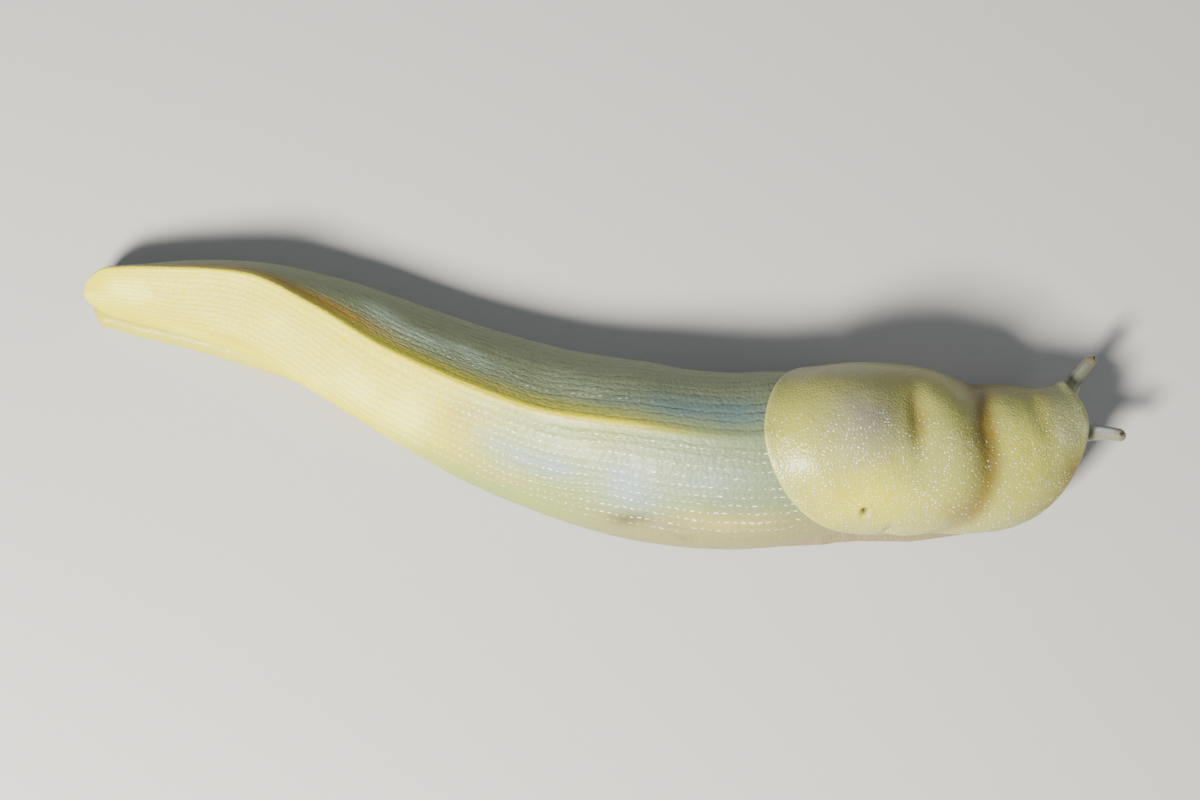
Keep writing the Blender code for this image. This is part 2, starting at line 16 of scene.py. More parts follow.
import bmesh
import bpy
import numpy as np
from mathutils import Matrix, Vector


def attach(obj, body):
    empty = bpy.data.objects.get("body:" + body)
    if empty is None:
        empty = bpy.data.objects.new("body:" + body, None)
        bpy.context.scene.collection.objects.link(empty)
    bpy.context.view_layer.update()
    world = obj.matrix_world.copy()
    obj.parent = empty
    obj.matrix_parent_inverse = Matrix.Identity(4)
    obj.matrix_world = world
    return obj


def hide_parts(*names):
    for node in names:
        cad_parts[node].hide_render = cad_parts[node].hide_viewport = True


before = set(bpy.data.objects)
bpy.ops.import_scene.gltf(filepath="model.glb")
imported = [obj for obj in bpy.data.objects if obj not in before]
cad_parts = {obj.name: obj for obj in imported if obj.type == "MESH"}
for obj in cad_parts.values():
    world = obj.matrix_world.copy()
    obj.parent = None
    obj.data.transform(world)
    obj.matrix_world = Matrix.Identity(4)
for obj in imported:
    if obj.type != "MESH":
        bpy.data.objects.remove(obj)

Array = np.ndarray
Pair = tuple[float, float]
Triple = tuple[float, float, float]
Colour = Triple
Pairs = tuple[Pair, ...]
Span = tuple[Pair, Pair]
Spots = tuple[tuple[float, float, float, float, float], ...]
Paint = Colour | bpy.types.NodeSocket

MM = 0.001
WELD = 1e-6
BODY = "root"
LOG = logging.getLogger("banana_slug")

# The whole-number hash behind every random share: its factors, the rounds of shift and factor that follow,
# its last shift and its greatest value.
HASH_COLUMN = np.uint32(374761393)
HASH_ROW = np.uint32(668265263)
HASH_SEED = (97, 13)
HASH_ROUNDS = ((np.uint32(13), np.uint32(1274126177)), (np.uint32(15), np.uint32(2246822519)))
HASH_LAST_SHIFT = np.uint32(16)
HASH_GREATEST = 4294967295.0

# The steps of station and of section place over which a surface's slopes are measured.
STATION_STEP = 0.05
PLACE_STEP = 0.002

# What sets the noise of one part of the skin apart from the others': a third coordinate, and a shift.
MANTLE_LAYER = 40.0
UNDER_LAYER = 60.0
FEELER_LAYER = 80.0
FACE_SHIFT = 200.0

# The feelers' radii from root to tip, and how far the left and the right eye lean up from the end of theirs.
OPTIC_RADII = (1.45, 1.5, 1.5, 1.35, 1.18, 1.12, 1.05)
ORAL_RADII = (0.75, 0.72, 0.65, 0.6, 0.5)
EYE_LEANS = (32.0, 73.0)

# Numbers of a Mix node's colour sockets, whose names it uses more than once.
MIX_FACTOR, MIX_FIRST, MIX_SECOND, MIX_RESULT = 0, 6, 7, 2

# How far the shaders' rows wander, in rows, and the scale of the noise that moves them.
ROW_WANDER = 0.7
ROW_WANDER_SCALE = (0.9, 0.7, 1.0)

FLESH_NODES = (
    "tail", "back_rear", "back_middle", "trunk_front", "neck", "head",
    "foot_tail", "foot_rear", "foot_middle", "foot_front", "mantle_shield", "mantle_hood",
    "optic_tentacle_left", "optic_tentacle_right", "oral_tentacle_left", "oral_tentacle_right",
)


class Side(Enum):
    """The animal's own sides, as the sign of the distance from its spine."""

    RIGHT = -1
    LEFT = 1


class Finish(Enum):
    """The skin's finishes, in the order of the mesh's material slots."""

    BODY = 0
    MANTLE = 1
    FEELER = 2


class Seed(IntEnum):
    """Which set of random numbers each form of the skin draws."""

    ROW_WANDER = 1
    ROW_LENGTH = 2
    ROW_SHIFT = 3
    ROW_STRETCH = 4
    FRINGE_RIPPLE = 5
    FRINGE_FINE_RIPPLE = 6
    GRANULE_SIZE = 7
    WAVES = 11
    SMALL_WAVES = 12
    FINE_COMB = 21
    COARSE_COMB = 22
    BODY_DRIFT = 31
    BODY_PATCHES = 33
    MIDDLE_ALONG = 41
    MIDDLE_ACROSS = 42
    MIDDLE_RADIUS = 43
    MANTLE_WAVES = 51
    MANTLE_SMALL_WAVES = 52
    MANTLE_DRIFT = 61
    WRINKLES = 71


# Whole-array helpers


def smooth_step(x: Array, low: float, high: float) -> Array:
    """Eased share of the way from low to high, 0 before and 1 after.

    Args:
        x: Values.
        low: Where the share leaves 0.
        high: Where it reaches 1. It may lie below low, which turns the step round.

    Returns:
        Shares from 0 to 1, as 3t^2 - 2t^3.
    """
    t = np.clip((np.asarray(x, float) - low) / (high - low), 0, 1)
    return t * t * (3 - 2 * t)


def bell(x: Array, centre: float, reach: float) -> Array:
    """A bell curve, exp(-((x - centre) / reach)^2)."""
    return np.exp(-(((np.asarray(x, float) - centre) / reach) ** 2))


def hashed(column: Array, row: Array, seed: int) -> Array:
    """A fixed random share from 0 to 1 for each whole-numbered cell.

    Args:
        column: Cell numbers one way.
        row: Cell numbers the other way.
        seed: Picks another set of numbers.

    Returns:
        Shares from 0 to 1: the cell's numbers are multiplied, folded and multiplied again.
    """
    a = np.asarray(column, np.int64).astype(np.uint32)
    b = np.asarray(row, np.int64).astype(np.uint32)
    factor, extra = HASH_SEED
    with np.errstate(over="ignore"):
        mixed = a * HASH_COLUMN + b * HASH_ROW + np.uint32(seed * factor + extra)
        for shift, factor in HASH_ROUNDS:
            mixed = (mixed ^ (mixed >> shift)) * factor
    return (mixed ^ (mixed >> HASH_LAST_SHIFT)).astype(float) / HASH_GREATEST


def clouds(x: Array, y: Array, seed: int) -> Array:
    """Soft noise from -1 to 1, about one swelling to a unit.

    Args:
        x: Places one way.
        y: Places the other way.
        seed: Picks another pattern.

    Returns:
        Random shares at whole-numbered corners, eased between them.
    """
    x, y = np.broadcast_arrays(np.asarray(x, float), np.asarray(y, float))
    column, row = np.floor(x), np.floor(y)
    a, b = smooth_step(x - column, 0, 1), smooth_step(y - row, 0, 1)
    near = hashed(column, row, seed) * (1 - a) + hashed(column + 1, row, seed) * a
    far = hashed(column, row + 1, seed) * (1 - a) + hashed(column + 1, row + 1, seed) * a
    return 2 * (near * (1 - b) + far * b) - 1


def band(x: Array, span: Span) -> Array:
    """A share that rises from 0 over the first pair of a span and falls back to it over the second."""
    rise, fall = span
    return smooth_step(x, *rise) * (1 - smooth_step(x, *fall))


def spots(s: Array, v: Array, table: Spots) -> Array:
    """Sum of soft spots on the skin.

    Args:
        s: Stations.
        v: Section places.
        table: Each spot's station, section place, reach along, reach across and strength.

    Returns:
        The sum of the strengths, each times a bell along and a bell across.
    """
    total = np.zeros(np.broadcast(s, v).shape)
    for station, place, along, across, strength in table:
        total = total + strength * bell(s, station, along) * bell(v, place, across)
    return total


def unit(vectors: Array) -> Array:
    """Vectors of length one; a vector of no length stays as it is."""
    length = np.linalg.norm(vectors, axis=-1, keepdims=True)
    return vectors / np.where(length < 1e-12, 1, length)


def grid_normals(points: Array) -> Array:
    """Unit normals of a grid of points, from its slopes both ways.

    Args:
        points: Rows by columns by three.

    Returns:
        Normals of the same shape: the cross product of the slope down the rows with that along the columns.
        Where the grid is drawn to a point, the next row's normals stand in.
    """
    normals = unit(np.cross(np.gradient(points, axis=0), np.gradient(points, axis=1)))
    flat = np.linalg.norm(normals, axis=-1) < 0.5
    for row, inner in ((0, 1), (-1, -2)):
        normals[row][flat[row]] = normals[inner][flat[row]]
    return normals


def through(points: Array, samples: int) -> Array:
    """Points on smooth curves through given points.

    Args:
        points: Sets by knots by coordinates.
        samples: How many points each curve gets.

    Returns:
        Sets by samples by coordinates, on Catmull-Rom curves that pass the knots at even steps.
    """
    knots = points.shape[1]
    place = np.linspace(0, knots - 1, samples)
    i = np.minimum(place.astype(int), knots - 2)
    t = (place - i)[None, :, None]
    before, start, end, after = (points[:, np.clip(i + step, 0, knots - 1)] for step in (-1, 0, 1, 2))
    return 0.5 * (
        2 * start
        + (end - before) * t
        + (2 * before - 5 * start + 4 * end - after) * t**2
        + (3 * start - before - 3 * end + after) * t**3
    )


def grid_faces(number: Array) -> Array:
    """The faces of a grid of point numbers, rows by columns, with four numbers to a face."""
    corners = (number[:-1, :-1], number[1:, :-1], number[1:, 1:], number[:-1, 1:])
    return np.stack(corners, axis=-1).reshape(-1, 4)


def weld(mesh: bpy.types.Mesh) -> None:
    """Merges the points that lie in one place, and shades the mesh smooth."""
    form = bmesh.new()
    form.from_mesh(mesh)
    bmesh.ops.remove_doubles(form, verts=form.verts, dist=WELD)
    form.to_mesh(mesh)
    form.free()
    mesh.shade_smooth()


def put_in(name: str, data: bpy.types.ID) -> bpy.types.Object:
    """A new object of the scene, at the origin, that shows the given mesh, lamp or camera."""
    obj = bpy.data.objects.new(name, data)
    bpy.context.scene.collection.objects.link(obj)
    return obj


@dataclass(frozen=True)
class Profile:
    """A smooth curve through (station, value) pairs, with no overshoot between them."""

    pairs: Pairs

    def __call__(self, s: Array) -> Array:
        """Values at the given stations.

        Args:
            s: Stations in millimetres.

        Returns:
            Cubic pieces whose slope at each pair is the harmonic mean of the slopes beside it.
        """
        place, value = np.array(self.pairs, float).T
        slope = np.diff(value) / np.diff(place)
        product, total = slope[:-1] * slope[1:], slope[:-1] + slope[1:]
        inner = np.where(product > 0, 2 * product / np.where(total == 0, 1, total), 0)
        tangent = np.concatenate([slope[:1], inner, slope[-1:]])
        s = np.asarray(s, float)
        i = np.clip(np.searchsorted(place, s, side="right") - 1, 0, len(slope) - 1)
        span = place[i + 1] - place[i]
        u = np.clip((s - place[i]) / span, 0, 1)
        return (
            value[i] * (1 + 2 * u) * (1 - u) ** 2
            + value[i + 1] * u**2 * (3 - 2 * u)
            + span * (tangent[i] * u * (1 - u) ** 2 - tangent[i + 1] * u**2 * (1 - u))
        )


@dataclass
class Spine:
    """The animal's middle line on the ground, seen from above, with its head towards +X."""

    plan: Pairs = (
        (-88, 19.4), (-66, 17.7), (-48, 12.8), (-25, 2.2), (0, -7),
        (23, -10.4), (43, -8.7), (58, -8.5), (69, -6.1), (81.5, -2.1),
    )
    centre: Pair = (-0.5345, 0.2139)
    points: Array = field(init=False)
    knots: Array = field(init=False)
    bends: Array = field(init=False)

    def __post_init__(self) -> None:
        """Works out the natural cubic spline: a bend at each inner knot, and none at the ends."""
        self.points = np.array(self.plan, float)
        self.knots = np.concatenate([[0], np.cumsum(np.hypot(*np.diff(self.points, axis=0).T))])
        span, count = np.diff(self.knots), len(self.knots)
        system = np.eye(count)
        inner = np.arange(1, count - 1)
        system[inner, inner - 1] = span[:-1]
        system[inner, inner] = 2 * (span[:-1] + span[1:])
        system[inner, inner + 1] = span[1:]
        slope = np.diff(self.points, axis=0) / span[:, None]
        target = np.zeros_like(self.points)
        target[1:-1] = 6 * np.diff(slope, axis=0)
        self.bends = np.linalg.solve(system, target)

    def place(self, s: Array) -> tuple[Array, Array]:
        """Place and unit heading on the ground at stations s, which may pass the ends in a straight line."""
        s = np.asarray(s, float)
        inside = np.clip(s, self.knots[0], self.knots[-1])
        i = np.clip(np.searchsorted(self.knots, inside, side="right") - 1, 0, len(self.knots) - 2)
        span = (self.knots[i + 1] - self.knots[i])[..., None]
        b = (inside - self.knots[i])[..., None] / span
        a = 1 - b
        start, end, bend, bend_on = self.points[i], self.points[i + 1], self.bends[i], self.bends[i + 1]
        place = a * start + b * end + ((a**3 - a) * bend + (b**3 - b) * bend_on) * span**2 / 6
        heading = (end - start) / span + ((3 * b**2 - 1) * bend_on - (3 * a**2 - 1) * bend) * span / 6
        heading = unit(heading)
        return place + heading * (s - inside)[..., None] - np.array(self.centre), heading

    def point(self, s: Array, across: Array, height: Array) -> Array:
        """Points in millimetres, from a station, a distance to the animal's left and a height."""
        s, across, height = np.broadcast_arrays(s, across, height)
        place, heading = self.place(s)
        left = np.stack([-heading[..., 1], heading[..., 0]], axis=-1)
        return np.concatenate([place + left * across[..., None], height[..., None]], axis=-1)

    def direction(self, s: float, turn: float, rise: float) -> Array:
        """Unit vector at an angle from the heading at s, to the left, and above the level, in degrees."""
        _, heading = self.place(s)
        angle = math.atan2(heading[1], heading[0]) + math.radians(turn)
        lift = math.radians(rise)
        return np.array(
            [math.cos(angle) * math.cos(lift), math.sin(angle) * math.cos(lift), math.sin(lift)]
        )


@dataclass(frozen=True)
class Island:
    """A rectangle of the unwrapping that one patch fills."""

    low: Pair
    high: Pair

    def place(self, share: Array) -> Array:
        """Places in the unwrapping, from shares of the way across the island both ways."""
        low, high = np.array(self.low), np.array(self.high)
        return low + (high - low) * share


@dataclass
class Patch:
    """A stretch of skin on a grid, with rows along it and columns round it.

    Attributes:
        points: Rows by columns by three, in millimetres. The way down the rows crossed with the way along the
            columns points outwards.
        flat: Rows by columns by two, its place in the unwrapping.
        lie: Rows by columns by three, coordinates in millimetres that follow the skin.
        marks: Masks by name, rows by columns.
        finish: The finish that it takes.
    """

    points: Array
    flat: Array
    lie: Array
    marks: dict[str, Array]
    finish: Finish


def stitch(low: Array, high: Array, low_share: Array, high_share: Array) -> Array:
    """Triangles between two rows of points that differ in number.

    Args:
        low: Point numbers of the first row.
        high: Point numbers of the next row.
        low_share: Where each of the first row's points lies, rising from 0 to 1.
        high_share: The same for the next row.

    Returns:
        Three point numbers to a triangle. Each step along either row makes one triangle, with the point that
        the other row has reached by then.
    """
    reached = np.searchsorted(high_share[1:], low_share[1:], side="left").clip(0, len(high) - 1)
    first = np.stack([low[:-1], high[reached], low[1:]], axis=1)
    reached = np.searchsorted(low_share[1:], high_share[1:], side="right").clip(0, len(low) - 1)
    second = np.stack([low[reached], high[:-1], high[1:]], axis=1)
    return np.concatenate([first, second])


class SkinMesh:
    """Gathers patches of skin into one mesh."""

    def __init__(self) -> None:
        """Starts with nothing."""
        self.patches: list[Patch] = []
        self.starts: list[int] = []
        self.seams: list[tuple[Array, Finish]] = []
        self.count = 0

    def add(self, patch: Patch) -> Array:
        """Adds a patch.

        Args:
            patch: The patch.

        Returns:
            Its point numbers in the whole mesh, rows by columns.
        """
        rows, columns = patch.points.shape[:2]
        number = np.arange(rows * columns).reshape(rows, columns) + self.count
        self.patches.append(patch)
        self.starts.append(self.count)
        self.count += rows * columns
        return number

    def join(self, low: Array, high: Array, finish: Finish) -> None:
        """Closes the seam between two rows of points, evenly by share of the way.

        Args:
            low: Point numbers of the first row.
            high: Point numbers of the next row, on the side that the first row's patch runs towards.
            finish: The finish of the seam.
        """
        points = np.concatenate([patch.points.reshape(-1, 3) for patch in self.patches])
        shares = []
        for row in (low, high):
            steps = np.linalg.norm(np.diff(points[row], axis=0), axis=1) + 1e-9
            length = np.concatenate([[0], np.cumsum(steps)])
            shares.append(length / length[-1])
        self.seams.append((stitch(low, high, *shares), finish))

    def build(self, name: str, materials: list[bpy.types.Material]) -> bpy.types.Object:
        """The finished piece.

        Args:
            name: Its name.
            materials: One material for each finish, in the finishes' order.

        Returns:
            An object at the origin, in metres, with its patches welded along their seams, smooth shading,
            an unwrapping, and the marks as attributes of its points.
        """
        points = np.concatenate([patch.points.reshape(-1, 3) for patch in self.patches]) * MM
        flat = np.concatenate([patch.flat.reshape(-1, 2) for patch in self.patches])
        faces, finishes = [], []
        for start, patch in zip(self.starts, self.patches):
            rows, columns = patch.points.shape[:2]
            quads = grid_faces(np.arange(rows * columns).reshape(rows, columns) + start)
            faces += quads.tolist()
            finishes.append(np.full(len(quads), patch.finish.value))
        for triangles, finish in self.seams:
            faces += triangles.tolist()
            finishes.append(np.full(len(triangles), finish.value))
        mesh = bpy.data.meshes.new(name)
        mesh.from_pydata(points.tolist(), [], faces)
        mesh.polygons.foreach_set("material_index", np.concatenate(finishes).astype(np.int32))
        layer = mesh.uv_layers.new(name="OFBake")
        corner = np.empty(len(mesh.loops), np.int32)
        mesh.loops.foreach_get("vertex_index", corner)
        layer.uv.foreach_set("vector", flat[corner].astype(np.float32).ravel())
        self.set_marks(mesh)
        weld(mesh)
        for material in materials:
            mesh.materials.append(material)
        return put_in(name, mesh)

    def set_marks(self, mesh: bpy.types.Mesh) -> None:
        """Puts the skin's own coordinates and the marks on the points, nought where a patch has none."""
        lie = mesh.attributes.new("lie", "FLOAT_VECTOR", "POINT")
        coordinates = np.concatenate([patch.lie.reshape(-1, 3) for patch in self.patches])
        lie.data.foreach_set("vector", coordinates.astype(np.float32).ravel())
        for mark in sorted({mark for patch in self.patches for mark in patch.marks}):
            values = [
                patch.marks.get(mark, np.zeros(patch.points.shape[:2])).reshape(-1) for patch in self.patches
            ]
            layer = mesh.attributes.new(mark, "FLOAT", "POINT")
            layer.data.foreach_set("value", np.concatenate(values).astype(np.float32))


@dataclass
class BodyShape:
    """The body's plain form: its back, and the foot with its fringe."""

    spine: Spine
    flank_half: Profile = Profile((
        (0, 2.0), (11, 4.8), (28, 7.5), (46, 10.2), (64, 12.1), (82, 13.7), (100, 14.7), (118, 14.5),
        (130, 13.3), (144, 12.3), (154, 10.0), (164, 7.0), (174, 5.5),
    ))
    back_height: Profile = Profile((
        (0, 7.2), (11, 10.0), (28, 12.8), (46, 14.6), (73, 18.0), (100, 21.6), (118, 22.8), (128, 22.5),
        (136, 21.8), (145, 19.9), (156, 16.0), (165, 13.3), (174, 10.4),
    ))
    ridge_lean: Profile = Profile((
        (0, 3.8), (14, 3.5), (28, 4.0), (40, 1.9), (56, -0.5), (80, -0.9), (100, 0.7), (120, 0.2), (174, 0.0),
    ))
    keel_sharpness: Profile = Profile((
        (0, 0.5), (12, 1.0), (60, 1.0), (90, 0.7), (118, 0.3), (135, 0.0), (174, 0.0),
    ))
    fringe_half: Profile = Profile((
        (1, 3.7), (11, 6.1), (28, 8.1), (46, 8.9), (64, 10.8), (91, 12.7), (118, 13.2),
        (130, 13.6), (142, 13.6), (153, 11.7), (163, 9.2), (174, 7.4),
    ))
    sole_span: Pair = (0.7, 173.6)
    head_front: float = 173.0
    groove_height: float = 2.4
    widest_share: float = 0.3
    v_widest: float = 0.75
    under_tuck: float = 0.12
    lean_power: float = 1.3
    roof_power: float = 1.2
    roof_root: float = 0.75
    snout_power: float = 2.4
    crest_height: float = 0.5
    crest_width: float = 0.9
    tail_rounding: Pair = (5.0, 5.2)
    head_rounding: Pair = (7.0, 5.6)
    shoulder: Triple = (161.8, 10.7, 4.5)
    shoulder_at_foot: float = 0.55
    foot_rounding: Pair = (2.4, 7.0)
    foot_end_thinning: float = 0.4
    seat_share: float = 0.82
    seat_inset: float = 0.7
    fringe_knots: Pairs = ((0.45, 0.0), (0.12, 0.22), (0.0, 0.55), (0.25, 0.95))
    fringe_shoulder: Pair = (0.6, 1.3)
    seat_height: float = 2.05
    groove_floor: float = 2.2
    groove_depth: float = 0.55
    ripple: Pair = (0.22, 7.0)
    fine_ripple: Pair = (0.1, 2.3)

    def end_share(self, s: Array) -> tuple[Array, Array]:
        """How far the section is drawn in near either end, from 1 to 0, and the height it is drawn to."""
        tail_reach, tail_height = self.tail_rounding
        head_reach, head_height = self.head_rounding
        tail = np.clip(1 - s / tail_reach, 0, 1)
        head = np.clip((s - (self.head_front - head_reach)) / head_reach, 0, 1)
        snout = np.clip(1 - head**self.snout_power, 0, 1) ** (1 / self.snout_power)
        return np.sqrt(np.clip(1 - tail**2, 0, 1)) * snout, np.where(head > 0, head_height, tail_height)

    def shoulder_swell(self, s: Array, v: Array) -> Array:
        """How far the right side swells outwards where the head turns to the left."""
        station, reach, amount = self.shoulder
        return np.where(v < 0, amount * bell(s, station, reach), 0.0)

    def dome(self, half: Array, top: Array, sharpness: Array, v: Array) -> tuple[Array, Array]:
        """Across and height of an arch: an ellipse, or a gable where sharpness is 1, tucked in below."""
        side = np.abs(v)
        widest = self.groove_height + self.widest_share * (top - self.groove_height)
        turn = np.clip(side / self.v_widest, 0, 1) * math.pi / 2
        under = np.clip((side - self.v_widest) / (1 - self.v_widest), 0, 1) * math.pi / 2
        gable = (1 - np.sin(turn) ** self.roof_power).clip(0) ** self.roof_root
        crown = (1 - sharpness) * np.cos(turn) + sharpness * gable
        lower = widest - (widest - self.groove_height) * np.sin(under)
        height = np.where(side <= self.v_widest, widest + (top - widest) * crown, lower)
        return np.sign(v) * half * (np.sin(turn) - self.under_tuck * (1 - np.cos(under))), height

    def section(self, s: Array, v: Array) -> tuple[Array, Array]:
        """Across and height of the back, as if it had no ends: the arch, a crest, and the ridge's lean."""
        half = self.flank_half(s) + self.shoulder_swell(s, v)
        top, sharpness = self.back_height(s), self.keel_sharpness(s)
        across, height = self.dome(half, top, sharpness, v)
        rise = ((height - self.groove_height) / (top - self.groove_height)).clip(0)
        height = height + self.crest_height * sharpness * bell(across, 0, self.crest_width)
        return across + self.ridge_lean(s) * rise**self.lean_power, height

    def core(self, s: Array, v: Array) -> Array:
        """The back's surface as if it had no ends, in millimetres."""
        s, v = np.broadcast_arrays(np.asarray(s, float), np.asarray(v, float))
        return self.spine.point(s, *self.section(s, v))

    def back(self, s: Array, v: Array) -> Array:
        """The back's surface, drawn in at both ends."""
        s, v = np.broadcast_arrays(np.asarray(s, float), np.asarray(v, float))
        across, height = self.section(s, v)
        share, centre = self.end_share(s)
        return self.spine.point(s, across * share, centre + (height - centre) * share)

    def foot_station(self, s: Array) -> Array:
        """The foot's station that goes with the back's: the foot is a little longer at its front."""
        start, end = self.sole_span
        return start + (end - start) * np.asarray(s, float) / self.head_front

    def foot_edge(self, s: Array, side: Side) -> tuple[Array, Array, Array]:
        """Outline of the foot on one side.

        Args:
            s: The back's stations.
            side: Which side.

        Returns:
            The fringe's half width, the side's swell at the shoulder, and how far the ends are drawn in.
        """
        station = self.foot_station(s)
        (start, end), (tail_reach, head_reach) = self.sole_span, self.foot_rounding
        tail = np.clip(1 - (station - start) / tail_reach, 0, 1)
        head = np.clip(1 - (end - station) / head_reach, 0, 1)
        share = np.sqrt(np.clip(1 - tail**2, 0, 1) * np.clip(1 - head**2, 0, 1))
        (height, length), (fine_height, fine_length) = self.ripple, self.fine_ripple
        ripple = height * clouds(station / length, side.value * 3.0, Seed.FRINGE_RIPPLE)
        ripple = ripple + fine_height * clouds(station / fine_length, 9.0, Seed.FRINGE_FINE_RIPPLE)
        fringe = (self.fringe_half(station) + ripple) * share
        beside = np.full_like(station, side.value)
        return fringe, self.shoulder_at_foot * self.shoulder_swell(station, beside) * share, share


@dataclass
class SkinRelief:
    """The small forms of the body's skin: long rows of low granules, furrows between them, and soft waves."""

    row_step: float = 1.5
    reference_girth: float = 27.0
    crowding: float = 0.3
    wander: float = 0.35
    wander_reach: Pair = (8.0, 4.0)
    granule_length: float = 2.0
    length_spread: Pair = (0.8, 0.5)
    row_shift: float = 9.0
    stretch: float = 0.5
    stretch_reach: Pair = (3.1, 2.0)
    granule_height: float = 0.06
    height_spread: Pair = (0.45, 0.55)
    side_power: float = 2.4
    end_power: float = 3.5
    comb_height: float = 0.05
    comb_lengths: Pair = (0.55, 1.9)
    wave_height: float = 0.16
    wave_reach: Pair = (13.0, 7.0)
    small_wave_share: float = 0.5
    small_wave_reach: Pair = (5.5, 4.5)

    def row_place(self, s: Array, girth: Array, half_girth: Array) -> Array:
        """Place across the rows.

        Args:
            s: Stations in millimetres.
            girth: Lengths round the ring from the ridge.
            half_girth: The whole length from the ridge to the back's lower edge.

        Returns:
            How many rows from the ridge. Rows draw together towards the tail, but less than the girth does,
            and slow noise makes them wander.
        """
        share = girth / np.maximum(half_girth, 1e-6)
        across = share * half_girth**self.crowding * self.reference_girth ** (1 - self.crowding)
        length, width = self.wander_reach
        wander = self.wander * clouds(s / length, across / width, Seed.ROW_WANDER)
        return across / self.row_step + wander

    def height(self, s: Array, rows: Array) -> Array:
        """Height of the granules over the plain skin.

        Args:
            s: Stations in millimetres.
            rows: Places across the rows, from row_place.

        Returns:
            A low pillow in each cell of each row, flat on top and steep at its sides and ends. Its size, its
            length and the shift of its row are random.
        """
        row = np.floor(rows)
        y = rows - row - 0.5
        least, more = self.length_spread
        length = self.granule_length * (least + more * hashed(row, row * 0, Seed.ROW_LENGTH))
        reach, width = self.stretch_reach
        along = s / length + self.row_shift * hashed(row, row * 0 + 1, Seed.ROW_SHIFT)
        along = along + self.stretch * clouds(s / reach, rows / width, Seed.ROW_STRETCH)
        cell = np.floor(along)
        x = along - cell - 0.5
        least, more = self.height_spread
        size = self.granule_height * (least + more * hashed(row, cell, Seed.GRANULE_SIZE))
        return size * (1 - np.abs(2 * y) ** self.side_power) * (1 - np.abs(2 * x) ** self.end_power)

    def comb(self, s: Array, rows: Array) -> Array:
        """Height of the fine upright ribs on the fringe, ridged noise along it."""
        side = 4 * np.sign(rows)
        fine, coarse = self.comb_lengths
        ribs = np.abs(clouds(s / fine, side, Seed.FINE_COMB)) + clouds(s / coarse, side, Seed.COARSE_COMB)
        return self.comb_height * ribs

    def waves(self, s: Array, rows: Array) -> Array:
        """Slow unevenness of the flesh, two sizes of soft noise."""
        (length, width), (small_length, small_width) = self.wave_reach, self.small_wave_reach
        small = self.small_wave_share * clouds(s / small_length, rows / small_width, Seed.SMALL_WAVES)
        return self.wave_height * (clouds(s / length, rows / width, Seed.WAVES) + small)


@dataclass
class Mouth:
    """The mouth on the front of the head: two lips, an upright slit between them and a cross slit above."""

    height: float = 4.3
    lip_offset: float = 1.25
    lip_reach: Pair = (0.85, 1.25)
    lip_rise: float = 0.55
    slit_reach: Pair = (0.2, 1.15)
    slit_drop: float = 0.1
    slit_depth: float = 0.75
    cross_rise: float = 1.0
    cross_reach: Pair = (1.3, 0.22)
    cross_bow: float = 0.12
    cross_depth: float = 0.55

    def relief(self, across: Array, height: Array) -> Array:
        """Height of lips and slits on the front of the head: bells for lips, narrow ones for slits."""
        wide, tall = self.lip_reach
        lips = bell(np.abs(across), self.lip_offset, wide) * bell(height, self.height, tall)
        thin, long = self.slit_reach
        slit = bell(across, 0, thin) * bell(height, self.height - self.slit_drop, long)
        broad, flat = self.cross_reach
        arch = height + self.cross_bow * across**2
        cross = bell(across, 0, broad) * bell(arch, self.height + self.cross_rise, flat)
        return self.lip_rise * lips - np.maximum(self.slit_depth * slit, self.cross_depth * cross)


@dataclass(frozen=True)
class Line:
    """A soft line along the skin.

    Attributes:
        place: Its section place.
        reach: How wide it is, as a section place.
        span: Where along the skin it comes in and goes out.
        strength: How strong it is.
    """

    place: float
    reach: float
    span: Span
    strength: float = 1.0

    def mask(self, s: Array, v: Array) -> Array:
        """Its strength at stations and section places."""
        return self.strength * bell(v, self.place, self.reach) * band(s, self.span)


@dataclass(frozen=True)
class Strip:
    """A length of the body's skin and how finely it is divided: round the back, the groove and the foot."""

    start: float
    end: float
    rows: int
    back: int
    groove: int
    fringe: int
    sole: int


